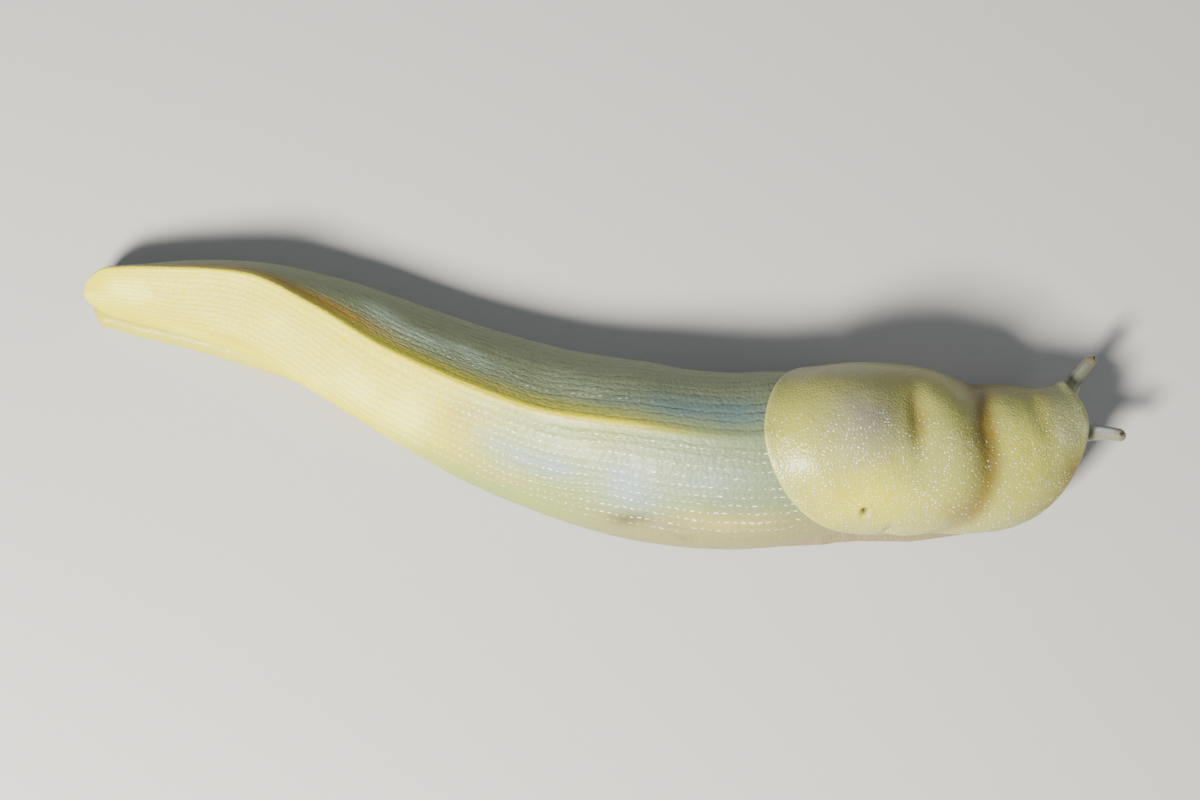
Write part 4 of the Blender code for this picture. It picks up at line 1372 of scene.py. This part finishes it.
@dataclass
class Feeler:
    """One feeler: a bent tube, flared at its root inside the head, with a blunt rounded tip."""

    name: str
    spine: Spine
    root: Triple
    turn: float
    rise: float
    length: float
    radii: tuple[float, ...]
    island: Island
    shade: float = 0.0
    heading_at: float = 173.0
    bow: float = 0.35
    flare: float = 0.35
    flare_reach: Pair = (0.4, 0.9)
    sink: float = 1.6
    wrinkle: Triple = (0.03, 9.0, 1.5)
    root_radius: float = 0.02
    tip_rings: int = 8
    rows: int = 44
    columns: int = 25
    girth: float = 6.0
    # A painted highlight: a pale bluish streak along the top of the tube.
    streak: Line = Line(0.78, 0.05, ((0.1, 0.3), (0.7, 0.9)))
    tip_edge: Pair = (0.75, 1.0)
    # Painted light: the root is painted pale where the hood's brim shades it.
    painted_light_root_edge: Pair = (0.26, 0.48)
    flat_root: float = 0.2

    def way(self) -> Array:
        """Unit direction from the root to the tip."""
        return self.spine.direction(self.heading_at, self.turn, self.rise)

    def start(self) -> Array:
        """The root's place."""
        return self.spine.point(*(np.array(value) for value in self.root))

    def add_to(self, skin: SkinMesh) -> None:
        """Adds the tube to the skin.

        The middle line runs straight with a slight bow. The radius follows the sizes given for even shares
        of the length, opens like a bell at the root, and closes over a half round at the tip.
        """
        way, start = self.way(), self.start()
        side = unit(np.cross(np.array([0.0, 0.0, 1.0]), way))
        up = np.cross(way, side)
        rings, tip = self.tip_rings, self.radii[-1]
        share = np.concatenate([[0.0], np.linspace(0.0, 1.0, self.rows - rings - 1), np.ones(rings)])
        body = self.length - tip
        along = -self.sink + (body + self.sink) * share
        radius = Profile(tuple(zip(np.linspace(0, body, len(self.radii)), self.radii)))(along)
        before, reach = self.flare_reach
        radius = radius * (1 + self.flare * np.exp(-np.maximum(along + before, 0) / reach))
        height, rate, length = self.wrinkle
        wrinkle = height * np.sin(along * rate + 2 * clouds(along / length, 0, Seed.WRINKLES))
        wrinkle = wrinkle * smooth_step(along, 0.0, 1.0)
        radius[0] = self.root_radius
        radius[1:-rings] += wrinkle[1:-rings]
        turn = np.linspace(0, math.pi / 2, rings + 1)[1:]
        along[-rings:] = body + tip * np.sin(turn)
        radius[-rings:] = tip * np.cos(turn)
        bend = self.bow * np.sin(np.clip(along / self.length, 0, 1) * math.pi)
        middle = start + way * along[:, None] + side * bend[:, None]
        angle = -np.linspace(0, 2 * math.pi, self.columns)
        ring = side * np.cos(angle)[:, None] + up * np.sin(angle)[:, None]
        points = middle[:, None] + ring[None] * radius[:, None, None]
        place = np.broadcast_to((along / self.length)[:, None], points.shape[:2])
        around = np.broadcast_to(np.linspace(0, 1, self.columns), place.shape)
        layer = np.full(place.shape, FEELER_LAYER)
        lie = np.stack([place * self.length, around * self.girth, layer], axis=-1)
        marks = {
            "edge": smooth_step(place, *self.tip_edge),
            "shade": np.full(place.shape, self.shade),
            # Painted light: pale at the root, where the hood's brim shades it.
            "root": 1 - smooth_step(place, *self.painted_light_root_edge),
            # A painted highlight along the top of the tube, none on the shaded feeler.
            "gloss": self.streak.mask(place, around) * (1 - self.shade),
        }
        flat = np.stack([around, np.clip((place + self.flat_root) / (1 + self.flat_root), 0, 1)], axis=-1)
        skin.add(Patch(points, self.island.place(flat), lie, marks, Finish.FEELER))


@dataclass
class Eye:
    """A small black eye, seated on the round tip of an upper feeler, leaning up from its end by an angle."""

    name: str
    feeler: Feeler
    lean: float
    radius: float = 0.32
    sink: float = 0.08
    rings: int = 17
    columns: int = 33

    def build(self, material: bpy.types.Material) -> bpy.types.Object:
        """The eye as a closed ball of its own: a grid over longitude and latitude."""
        way = self.feeler.way()
        up = unit(np.cross(np.cross(way, np.array([0.0, 0.0, 1.0])), way))
        round_tip = self.feeler.radii[-1]
        centre = self.feeler.start() + way * (self.feeler.length - round_tip)
        lean = math.radians(self.lean)
        seat = centre + (way * math.cos(lean) + up * math.sin(lean)) * (round_tip - self.sink)
        height = np.linspace(-math.pi / 2, math.pi / 2, self.rings)[:, None]
        angle = -np.linspace(0, 2 * math.pi, self.columns)[None, :]
        flat = np.cos(height)
        ball = np.stack([flat * np.cos(angle), flat * np.sin(angle), np.sin(height) + 0 * angle], axis=-1)
        points = (seat + ball * self.radius).reshape(-1, 3) * MM
        number = np.arange(self.rings * self.columns).reshape(self.rings, self.columns)
        mesh = bpy.data.meshes.new(self.name)
        mesh.from_pydata(points.tolist(), [], grid_faces(number).tolist())
        weld(mesh)
        mesh.materials.append(material)
        return put_in(self.name, mesh)


# Finishes


class Flow:
    """A shader value that adds Math nodes when it is used in a sum."""

    def __init__(self, nodes: "Nodes", socket: bpy.types.NodeSocket) -> None:
        """Wraps a socket of the given node tree."""
        self.nodes = nodes
        self.socket = socket

    def math(self, operation: str, *values: "Flow | float") -> "Flow":
        """A Math node's result."""
        node = self.nodes.add("ShaderNodeMath", {"operation": operation}, dict(enumerate(values)))
        return Flow(self.nodes, node.outputs[0])

    def __add__(self, other: "Flow | float") -> "Flow":
        """Sum."""
        return self.math("ADD", self, other)

    __radd__ = __add__

    def __mul__(self, other: "Flow | float") -> "Flow":
        """Product."""
        return self.math("MULTIPLY", self, other)

    __rmul__ = __mul__

    def __sub__(self, other: "Flow | float") -> "Flow":
        """Difference."""
        return self.math("SUBTRACT", self, other)

    def __rsub__(self, other: "Flow | float") -> "Flow":
        """Difference from a number."""
        return self.math("SUBTRACT", other, self)

    def __abs__(self) -> "Flow":
        """Size without the sign."""
        return self.math("ABSOLUTE", self)

    def __floor__(self) -> "Flow":
        """The whole number at or below."""
        return self.math("FLOOR", self)

    def over(self, low: float, high: float) -> "Flow":
        """Share of the way from low to high, kept from 0 to 1. Low may be the greater of the two."""
        return ((self - low) * (1 / (high - low))).held()

    def line(self, amounts: Pair) -> "Flow":
        """A straight line of the value: the first amount, and the value times the second."""
        least, more = amounts
        return least + self * more

    def held(self) -> "Flow":
        """The value kept from 0 to 1."""
        node = self.nodes.add("ShaderNodeClamp", {}, {0: self})
        return Flow(self.nodes, node.outputs[0])


@dataclass(frozen=True)
class Layer:
    """A colour laid over the skin.

    Attributes:
        mark: The mark that says where.
        colour: The colour.
        amounts: What the mark is multiplied by, as a line of the noise, or None for the mark alone.
    """

    mark: str
    colour: Colour
    amounts: Pair | None = None


class Nodes:
    """A material's node tree and the ways to add to it."""

    def __init__(self, name: str) -> None:
        """Starts a material with one Principled shader.

        Args:
            name: The material's name.
        """
        self.material = bpy.data.materials.new(name)
        self.material.use_nodes = True
        self.tree = self.material.node_tree
        self.shader = self.tree.nodes["Principled BSDF"]

    def add(self, kind: str, settings: dict, inputs: dict) -> bpy.types.Node:
        """Adds a node.

        Args:
            kind: The node's type.
            settings: Its own settings, set first.
            inputs: Values or links by socket name or number.

        Returns:
            The node.
        """
        node = self.tree.nodes.new(kind)
        for key, value in settings.items():
            setattr(node, key, value)
        for key, value in inputs.items():
            self.feed(node.inputs[key], value)
        return node

    def feed(self, socket: bpy.types.NodeSocket, value: object) -> None:
        """Gives a socket a value or a link."""
        if isinstance(value, Flow):
            value = value.socket
        if isinstance(value, bpy.types.NodeSocket):
            self.tree.links.new(value, socket)
        elif isinstance(value, tuple) and len(value) == 3 and socket.type == "RGBA":
            socket.default_value = (*value, 1.0)
        else:
            socket.default_value = value

    def mark(self, name: str) -> Flow:
        """A mark of the skin."""
        return Flow(self, self.add("ShaderNodeAttribute", {"attribute_name": name}, {}).outputs["Fac"])

    def lie(self, scale: Triple) -> bpy.types.NodeSocket:
        """The coordinates that follow the skin, in millimetres, times a scale each way."""
        source = self.add("ShaderNodeAttribute", {"attribute_name": "lie"}, {}).outputs["Vector"]
        node = self.add("ShaderNodeVectorMath", {"operation": "MULTIPLY"}, {0: source, 1: scale})
        return node.outputs[0]

    def noise(self, scale: Triple, detail: float = 3.0, roughness: float = 0.5) -> Flow:
        """Noise from 0 to 1 that lies on the skin; the scale is its swellings to a millimetre each way."""
        inputs = {"Vector": self.lie(scale), "Scale": 1.0, "Detail": detail, "Roughness": roughness}
        return Flow(self, self.add("ShaderNodeTexNoise", {}, inputs).outputs["Fac"])

    def own_noise(self, scale: float) -> Flow:
        """Noise from 0 to 1 that lies in the object's own space."""
        source = self.add("ShaderNodeTexCoord", {}, {}).outputs["Object"]
        node = self.add("ShaderNodeTexNoise", {}, {"Vector": source, "Scale": scale, "Detail": 2.0})
        return Flow(self, node.outputs["Fac"])

    def cells(self, scale: Triple, smoothness: float, scatter: float) -> Flow:
        """Distance to the middle of the nearest cell of the skin, in cells."""
        inputs = {"Vector": self.lie(scale), "Scale": 1.0, "Smoothness": smoothness, "Randomness": scatter}
        settings = {"feature": "SMOOTH_F1", "voronoi_dimensions": "2D"}
        node = self.add("ShaderNodeTexVoronoi", settings, inputs)
        return Flow(self, node.outputs["Distance"])

    def luck(self, column: Flow, row: Flow, seed: float) -> Flow:
        """A fixed random share for each whole-numbered cell."""
        vector = self.add("ShaderNodeCombineXYZ", {}, {0: column, 1: row, 2: seed}).outputs[0]
        node = self.add("ShaderNodeTexWhiteNoise", {"noise_dimensions": "3D"}, {"Vector": vector})
        return Flow(self, node.outputs["Value"])

    def rows(self) -> tuple[Flow, Flow]:
        """The body's own places: the station, and how many rows from the ridge, with a little wandering."""
        node = self.add("ShaderNodeSeparateXYZ", {}, {0: self.lie((1.0, 1.0, 1.0))})
        wander = (self.noise(ROW_WANDER_SCALE, 2.0) - 0.5) * ROW_WANDER
        return Flow(self, node.outputs[0]), Flow(self, node.outputs[1]) + wander

    def blend(self, factor: Flow | float, first: Paint, second: Paint) -> bpy.types.NodeSocket:
        """Two colours mixed."""
        settings = {"data_type": "RGBA", "blend_type": "MIX"}
        inputs = {MIX_FACTOR: factor, MIX_FIRST: first, MIX_SECOND: second}
        return self.add("ShaderNodeMix", settings, inputs).outputs[MIX_RESULT]

    def lay(self, colour: Paint, layers: tuple[Layer, ...], noise: Flow) -> Paint:
        """Lays colours over one, in order.

        Args:
            colour: The colour underneath.
            layers: What to lay over it.
            noise: Noise that breaks up the layers that have amounts.

        Returns:
            The mixed colour.
        """
        for layer in layers:
            factor = self.mark(layer.mark)
            if layer.amounts:
                factor = (factor * noise.line(layer.amounts)).held()
            colour = self.blend(factor, colour, layer.colour)
        return colour

    def bump(
        self, height: Flow, distance: float, under: bpy.types.NodeSocket | None = None
    ) -> bpy.types.NodeSocket:
        """A Bump node's normal: a height from 0 to 1 times a distance in metres, over another bump."""
        inputs = {"Height": height, "Distance": distance, "Strength": 1.0}
        if under is not None:
            inputs["Normal"] = under
        return self.add("ShaderNodeBump", {}, inputs).outputs["Normal"]

    def surface(self, values: dict[str, object]) -> None:
        """Sets sockets of the shader."""
        for key, value in values.items():
            self.feed(self.shader.inputs[key], value)


@dataclass(frozen=True)
class PaintedGlintStreaks:
    """Painted glints: short fine near-white streaks along the crests of the body's rows.

    Attributes:
        length: How far apart they start, in millimetres.
        width: Half their width, as a share of a row.
        sides: Where their sides start and end, as shares of the width.
        reach: Half their length, least and more, as shares of the distance between them.
        shift: How far a row is shifted at most.
        end_slope: How sharp their ends are.
        plenty_slope: How sharply they give out where they become few.
        seed: Picks another set.
    """

    length: float = 1.1
    width: float = 0.055
    sides: Pair = (1.4, 0.5)
    reach: Pair = (0.1, 0.26)
    shift: float = 9.0
    end_slope: float = 12.0
    plenty_slope: float = 1.8
    seed: float = 3.0

    def mask(self, nodes: Nodes, plenty: Flow) -> Flow:
        """Where the streaks are.

        Args:
            nodes: The material's nodes.
            plenty: The share of places that have one.

        Returns:
            1 on a streak and 0 off it, with soft sides: each row is cut into cells at a random shift, and the
            streak's own length and its being there are random by cell.
        """
        station, place = nodes.rows()
        row = math.floor(place)
        aside = abs(place - row - 0.5)
        along = station * (1 / self.length) + nodes.luck(row, row, self.seed) * self.shift
        cell = math.floor(along)
        reach = nodes.luck(cell, row, self.seed + 1).line(self.reach)
        ends = ((reach - abs(along - cell - 0.5)) * self.end_slope).held()
        there = ((plenty - nodes.luck(cell, row, self.seed + 2)) * self.plenty_slope).held()
        outer, inner = self.sides
        return aside.over(self.width * outer, self.width * inner) * ends * there


@dataclass(frozen=True)
class PaintedGlintDots:
    """Painted glints: small soft dots on the mantle, of random size, in a random share of the cells, one to a
    cell.
    """

    scale: Triple = (1.6, 2.4, 1.0)
    radius: float = 0.2
    smallest: float = 0.4
    edge_slope: float = 2.5
    plenty_slope: float = 3.0

    def mask(self, nodes: Nodes, plenty: Flow) -> Flow:
        """1 on a dot and 0 off it, with a soft edge; plenty is the share of cells that have one."""
        settings = {"feature": "F1", "voronoi_dimensions": "2D"}
        inputs = {"Vector": nodes.lie(self.scale), "Scale": 1.0, "Randomness": 1.0}
        node = nodes.add("ShaderNodeTexVoronoi", settings, inputs)
        colour = nodes.add("ShaderNodeSeparateColor", {}, {0: node.outputs["Color"]})
        there = ((plenty - Flow(nodes, colour.outputs[0])) * self.plenty_slope).held()
        rim = (self.smallest + Flow(nodes, colour.outputs[1])) * self.radius
        inside = (rim - Flow(nodes, node.outputs["Distance"])) * (self.edge_slope / self.radius)
        return inside.held() * there


@dataclass(frozen=True)
class Flesh:
    """What all the flesh shares: a thin wet film, how light sinks in, and how deep the fine relief is."""

    film: float = 0.05
    film_roughness: float = 0.15
    specular: float = 0.4
    sink: float = 0.15
    sink_radius: Colour = (1.0, 0.8, 0.3)
    sink_scale: float = 0.001
    granule_depth: float = 0.00006
    fine_depth: float = 0.00005

    def cover(self, nodes: Nodes, values: dict[str, object]) -> bpy.types.Material:
        """Gives the shader what all the flesh shares, and its own values over that.

        Args:
            nodes: The material's nodes.
            values: Values or links by the names of the shader's sockets.

        Returns:
            The finished material.
        """
        shared = {
            "Coat Weight": self.film,
            "Coat Roughness": self.film_roughness,
            "Specular IOR Level": self.specular,
            "Subsurface Weight": self.sink,
            "Subsurface Radius": self.sink_radius,
            "Subsurface Scale": self.sink_scale,
            "Metallic": 0.0,
        }
        nodes.surface(shared | values)
        return nodes.material

    def relief(self, nodes: Nodes, granules: Flow, fine: Flow) -> bpy.types.NodeSocket:
        """The normal of fine relief over that of the granules, which are highest in their middles."""
        return nodes.bump(fine, self.fine_depth, nodes.bump(1 - granules, self.granule_depth))


@dataclass(frozen=True)
class BodyFinish:
    """The body's skin: lemon at the tail, olive with painted grey sheen in front, and grey-green on the left
    flank, partly painted shade.
    """

    flesh: Flesh
    lemon: Colour = (0.68, 0.62, 0.0)
    # The ochre of the painted shade in the furrows on the lemon.
    ochre: Colour = (0.60, 0.47, 0.0)
    tail_layers: tuple[Layer, ...] = (
        Layer("pale", (0.80, 0.80, 0.14)),
        Layer("warm", (0.60, 0.47, 0.0), (0.4, 1.2)),
    )
    trunk_layers: tuple[Layer, ...] = (
        Layer("front", (0.25, 0.30, 0.072)),
        Layer("moss", (0.17, 0.215, 0.105)),
        Layer("low", (0.24, 0.22, 0.085)),
        # Painted sheen: grey-blue reflection of the sky on the right flank.
        Layer("mist", (0.21, 0.28, 0.275), (0.5, 0.8)),
        Layer("tan", (0.35, 0.31, 0.09), (0.4, 1.2)),
        Layer("smudge", (0.09, 0.09, 0.03), (0.3, 1.0)),
    )
    # The left flank's grey-green: partly the skin's own colour, partly painted shade.
    sage: Colour = (0.21, 0.24, 0.12)
    far_layers: tuple[Layer, ...] = (
        # Painted sheen on the left flank.
        Layer("haze", (0.36, 0.46, 0.32), (0.5, 1.0)),
        # Painted shade with the sky's reflection in it, on the left flank.
        Layer("slate", (0.11, 0.17, 0.16), (0.5, 1.0)),
        # Painted shadow beyond the keel: brown at the rear, olive further forward.
        Layer("umber", (0.36, 0.21, 0.01)),
        Layer("bronze", (0.26, 0.24, 0.05)),
    )
    top_layers: tuple[Layer, ...] = (
        Layer("keel", (0.60, 0.52, 0.0)),
        Layer("face", (0.27, 0.25, 0.13)),
    )
    # Painted shade in the groove above the foot, weaker towards the front.
    groove: Colour = (0.40, 0.34, 0.05)
    groove_share: Pair = (0.5, -0.4)
    fringe: Colour = (0.50, 0.46, 0.02)
    clay: Colour = (0.22, 0.18, 0.09)
    # Painted shade between the rows: dark lines, stronger on the left flank.
    furrow: Colour = (0.07, 0.08, 0.04)
    furrow_side: Pair = (0.34, 0.5)
    furrow_tint: Pair = (0.15, 0.7)
    furrow_lines: Pair = (0.2, 0.6)
    furrow_breaks: Pair = (0.42, 0.62)
    # The near-white of the glints painted along the rows.
    glint: Colour = (1.0, 1.0, 0.94)
    glints: PaintedGlintStreaks = PaintedGlintStreaks()
    glint_plenty: Pair = (0.75, 0.9)
    glint_share: Pair = (0.45, 0.5)
    slow_scale: Triple = (0.22, 0.3, 1.0)
    fine_scale: Triple = (2.2, 3.0, 3.0)
    streak_scale: Triple = (0.3, 1.6, 1.0)
    streak_roughness: float = 0.6
    cell_scale: Triple = (1.3, 1.9, 1.0)
    cell_shape: Pair = (0.2, 0.8)
    roughness: Pair = (0.42, 0.12)
    glint_polish: float = 0.25
    fine_height: float = 0.4
    furrow_height: float = 0.5

    def material(self) -> bpy.types.Material:
        """The material."""
        nodes = Nodes("body_skin")
        mark = nodes.mark
        slow, fine = nodes.noise(self.slow_scale), nodes.noise(self.fine_scale)
        streak = nodes.noise(self.streak_scale, roughness=self.streak_roughness)
        _, place = nodes.rows()
        furrow = abs(place - math.floor(place) - 0.5).over(*self.furrow_side) * mark("rows")
        wet, far, front = mark("wet"), mark("far"), mark("front")
        glints = self.glints.mask(nodes, wet * slow.line(self.glint_plenty))
        colour = nodes.lay(self.lemon, self.tail_layers, slow)
        # Painted shade: ochre in the furrows between the rows.
        colour = nodes.blend((furrow * streak.line(self.furrow_tint)).held(), colour, self.ochre)
        colour = nodes.lay(colour, self.trunk_layers, slow)
        # The left flank: grey-green, partly painted shade, with painted sheen and painted shadow laid over
        # it.
        colour = nodes.blend(far, colour, nodes.lay(self.sage, self.far_layers, slow))
        colour = nodes.lay(colour, self.top_layers, slow)
        colour = nodes.blend(mark("foot"), colour, nodes.blend(front, self.fringe, self.clay))
        # Painted shade in the groove above the foot.
        colour = nodes.blend(mark("groove") * front.line(self.groove_share), colour, self.groove)
        # Painted shade: dark lines in the furrows, stronger on the left flank.
        lines = furrow * far.line(self.furrow_lines) * streak.over(*self.furrow_breaks)
        colour = nodes.blend(lines.held(), colour, self.furrow)
        # Painted glints: near-white highlights painted on the rows' crests.
        colour = nodes.blend((glints * wet.line(self.glint_share)).held(), colour, self.glint)
        granules = nodes.cells(self.cell_scale, *self.cell_shape)
        relief = glints + fine * self.fine_height - furrow * self.furrow_height
        rough = (fine.line(self.roughness) - self.glint_polish * glints).held()
        normal = self.flesh.relief(nodes, granules, relief)
        return self.flesh.cover(nodes, {"Base Color": colour, "Roughness": rough, "Normal": normal})


@dataclass(frozen=True)
class MantleFinish:
    """The mantle's skin: olive yellow and finely granular, with brown painted shade in its folds, its pore
    and between its granules, painted highlights and glints, and a grey patch on top.
    """

    flesh: Flesh
    olive: Colour = (0.32, 0.33, 0.085)
    layers: tuple[Layer, ...] = (
        Layer("warm", (0.52, 0.49, 0.03), (0.7, 0.6)),
        Layer("far", (0.30, 0.28, 0.085)),
        Layer("front", (0.27, 0.28, 0.13), (0.9, 0.0)),
        Layer("lilac", (0.20, 0.19, 0.13), (0.6, 0.7)),
        Layer("lip", (0.42, 0.42, 0.13), (0.5, 0.0)),
        Layer("shade", (0.17, 0.115, 0.015)),
        # Painted shade in the pore.
        Layer("hollow", (0.06, 0.045, 0.01)),
    )
    # A painted highlight: pale spots on the hood and by the pore.
    gloss: Layer = Layer("gloss", (0.62, 0.62, 0.38), (0.4, 1.0))
    # Painted shade between the granules.
    between: Colour = (0.17, 0.115, 0.015)
    between_share: float = 0.22
    # Painted glints: the near-white of the dots painted on the right side.
    glint: Colour = (1.0, 1.0, 0.90)
    glint_share: float = 0.9
    glints: PaintedGlintDots = PaintedGlintDots()
    plenty: Pair = (0.4, 0.8)
    plenty_edge: Pair = (0.35, 0.7)
    plenty_scale: Triple = (0.6, 0.6, 1.0)
    slow_scale: Triple = (0.2, 0.2, 1.0)
    fine_scale: Triple = (4.0, 4.0, 1.0)
    cell_scale: Triple = (2.3, 2.3, 1.0)
    cell_shape: Pair = (0.2, 0.9)
    roughness: Pair = (0.26, 0.14)
    glint_polish: float = 0.1
    fine_height: float = 0.5

    def material(self) -> bpy.types.Material:
        """The material."""
        nodes = Nodes("mantle_skin")
        slow, fine = nodes.noise(self.slow_scale), nodes.noise(self.fine_scale)
        colour = nodes.lay(self.olive, self.layers, slow)
        colour = nodes.lay(colour, (self.gloss,), fine)
        # Painted shade between the granules' tops.
        between = (1 - nodes.mark("tops")) * self.between_share * fine
        colour = nodes.blend(between.held(), colour, self.between)
        # Painted glints: near-white dots painted in a share of the cells.
        plenty = nodes.noise(self.plenty_scale, 2.0).over(*self.plenty_edge).line(self.plenty)
        glints = self.glints.mask(nodes, nodes.mark("wet") * plenty)
        colour = nodes.blend(glints * self.glint_share, colour, self.glint)
        granules = nodes.cells(self.cell_scale, *self.cell_shape)
        rough = (fine.line(self.roughness) - self.glint_polish * glints).held()
        normal = self.flesh.relief(nodes, granules, fine * self.fine_height + glints)
        return self.flesh.cover(nodes, {"Base Color": colour, "Roughness": rough, "Normal": normal})


@dataclass(frozen=True)
class FeelerFinish:
    """The feelers' skin: dull, wet and a little see-through, painted paler at the root against the hood's
    shadow, with a painted highlight streak, and browner at the tip.
    """

    flesh: Flesh
    cream: Colour = (0.16, 0.165, 0.12)
    shade: Layer = Layer("shade", (0.09, 0.095, 0.055))
    layers: tuple[Layer, ...] = (
        Layer("edge", (0.15, 0.11, 0.05), (0.5, 0.5)),
        # A painted highlight: bluish streak along the tube.
        Layer("gloss", (0.30, 0.33, 0.38), (0.2, 1.2)),
        # Painted light on the root, against the hood's shadow.
        Layer("root", (0.40, 0.40, 0.25)),
    )
    fine_scale: Triple = (2.0, 3.0, 1.0)
    roughness: Pair = (0.22, 0.15)
    film: float = 0.25

    def material(self) -> bpy.types.Material:
        """The material."""
        nodes = Nodes("feeler_skin")
        fine = nodes.noise(self.fine_scale)
        colour = nodes.lay(self.cream, (self.shade, *self.layers), fine)
        values = {
            "Base Color": colour,
            "Roughness": fine.line(self.roughness).held(),
            "Coat Weight": self.film,
            "Normal": nodes.bump(fine, self.flesh.granule_depth),
        }
        return self.flesh.cover(nodes, values)


@dataclass(frozen=True)
class EyeFinish:
    """The eyes: black and glossy, with a little brown in the black."""

    black: Colour = (0.012, 0.010, 0.009)
    brown: Colour = (0.03, 0.02, 0.012)
    speck_scale: float = 3000.0
    roughness: float = 0.12
    film: float = 0.6
    film_roughness: float = 0.04

    def material(self) -> bpy.types.Material:
        """The material."""
        nodes = Nodes("eye_black")
        colour = nodes.blend(nodes.own_noise(self.speck_scale), self.black, self.brown)
        nodes.surface({"Base Color": colour, "Roughness": self.roughness})
        nodes.surface({"Coat Weight": self.film, "Coat Roughness": self.film_roughness})
        return nodes.material


@dataclass(frozen=True)
class Lamp:
    """A soft square lamp."""

    name: str
    place: Triple
    size: float
    power: float
    colour: Colour

    def add(self, target: Triple) -> None:
        """Sets the lamp up, facing the target."""
        data = bpy.data.lights.new(self.name, "AREA")
        data.shape = "SQUARE"
        data.size = self.size
        data.energy = self.power
        data.color = self.colour
        obj = put_in(self.name, data)
        obj.location = self.place
        obj.rotation_mode = "QUATERNION"
        obj.rotation_quaternion = (Vector(target) - Vector(self.place)).to_track_quat("-Z", "Y")


@dataclass
class Studio:
    """The floor, the lights and the camera round the animal."""

    target: Triple = (0.000535, -0.000214, 0.008)
    distance: float = 0.333
    elevation: float = 75.0
    lens: float = 60.0
    sensor: float = 36.0
    clip: Pair = (0.01, 10.0)
    floor_half: float = 3.0
    floor_height: float = -0.00005
    floor_colour: Colour = (0.50, 0.49, 0.47)
    floor_dark: Colour = (0.46, 0.45, 0.43)
    floor_dark_share: float = 0.1
    floor_scale: float = 8.0
    floor_roughness: float = 0.8
    lamps: tuple[Lamp, ...] = (
        Lamp("key", (-0.25, -0.34, 0.37), 0.13, 12.1, (1.0, 0.97, 0.90)),
        Lamp("fill", (0.25, 0.6, 0.45), 0.7, 1.0, (0.85, 0.92, 1.0)),
        Lamp("front", (0.45, -0.06, 0.30), 0.25, 0.35, (1.0, 0.98, 0.94)),
    )
    sky: Colour = (0.80, 0.88, 1.0)
    sky_strength: float = 0.17

    def camera(self) -> None:
        """The camera at the photograph's own angle."""
        data = bpy.data.cameras.new("camera")
        data.lens = self.lens
        data.sensor_width = self.sensor
        data.clip_start, data.clip_end = self.clip
        obj = put_in("camera", data)
        lift = math.radians(self.elevation)
        back = Vector((0, -math.cos(lift), math.sin(lift)))
        obj.location = Vector(self.target) + back * self.distance
        obj.rotation_mode = "QUATERNION"
        obj.rotation_quaternion = (-back).to_track_quat("-Z", "Y")
        bpy.context.scene.camera = obj

    def floor(self) -> None:
        """A plain pale floor just under the sole, with a faint unevenness in its tone."""
        mesh = bpy.data.meshes.new("floor")
        turns = ((-1, -1), (1, -1), (1, 1), (-1, 1))
        corners = [(self.floor_half * x, self.floor_half * y, self.floor_height) for x, y in turns]
        mesh.from_pydata(corners, [], [(0, 1, 2, 3)])
        nodes = Nodes("floor_paint")
        tone = nodes.own_noise(self.floor_scale)
        colour = nodes.blend(tone * self.floor_dark_share, self.floor_colour, self.floor_dark)
        nodes.surface({"Base Color": colour, "Roughness": self.floor_roughness})
        mesh.materials.append(nodes.material)
        put_in("floor", mesh)

    def build(self) -> None:
        """Sets up the camera, the floor, the lamps and the even light all round."""
        self.camera()
        self.floor()
        for lamp in self.lamps:
            lamp.add(self.target)
        world = bpy.data.worlds.new("studio")
        world.use_nodes = True
        background = world.node_tree.nodes["Background"]
        background.inputs["Color"].default_value = (*self.sky, 1.0)
        background.inputs["Strength"].default_value = self.sky_strength
        bpy.context.scene.world = world


def main() -> None:
    """Builds the studio, the skin and the eyes, and puts them in the frame."""
    logging.basicConfig(level=logging.INFO, format="%(name)s: %(message)s")
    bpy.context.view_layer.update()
    Studio().build()
    spine = Spine()
    body = BodyShape(spine)
    skin = SkinMesh()
    BodySkin(body, SkinRelief(), Mouth()).add_to(skin)
    MantleSkin(MantleShape(body)).add_to(skin)
    feelers = [
        Feeler(
            "left", spine, root=(172.0, 3.3, 7.6), turn=36.0, rise=13.0, length=8.9,
            radii=OPTIC_RADII, island=Island((0.83, 0.57), (0.87, 0.77)), shade=0.8,
        ),
        Feeler(
            "right", spine, root=(171.0, -2.2, 7.6), turn=-25.0, rise=13.0, length=9.0,
            radii=OPTIC_RADII, island=Island((0.88, 0.57), (0.92, 0.77)),
        ),
        Feeler(
            "left_low", spine, root=(170.6, 2.7, 4.9), turn=20.0, rise=-10.0, length=4.0,
            radii=ORAL_RADII, island=Island((0.83, 0.79), (0.87, 0.89)),
        ),
        Feeler(
            "right_low", spine, root=(170.6, -2.7, 4.9), turn=-20.0, rise=-10.0, length=4.0,
            radii=ORAL_RADII, island=Island((0.88, 0.79), (0.92, 0.89)),
        ),
    ]
    for feeler in feelers:
        feeler.add_to(skin)
    flesh = Flesh()
    finishes = [BodyFinish(flesh).material(), MantleFinish(flesh).material(), FeelerFinish(flesh).material()]
    piece = skin.build("slug_skin", finishes)
    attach(piece, BODY)
    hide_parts(*FLESH_NODES)
    LOG.info("slug_skin: %d points, %d faces", len(piece.data.vertices), len(piece.data.polygons))
    black = EyeFinish().material()
    for feeler, lean in zip(feelers, EYE_LEANS):
        eye = Eye(f"eye_ball_{feeler.name}", feeler, lean).build(black)
        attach(eye, BODY)
        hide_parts(f"eye_{feeler.name}")
        LOG.info("%s: %d faces", eye.name, len(eye.data.polygons))


if __name__ == "__main__":
    main()
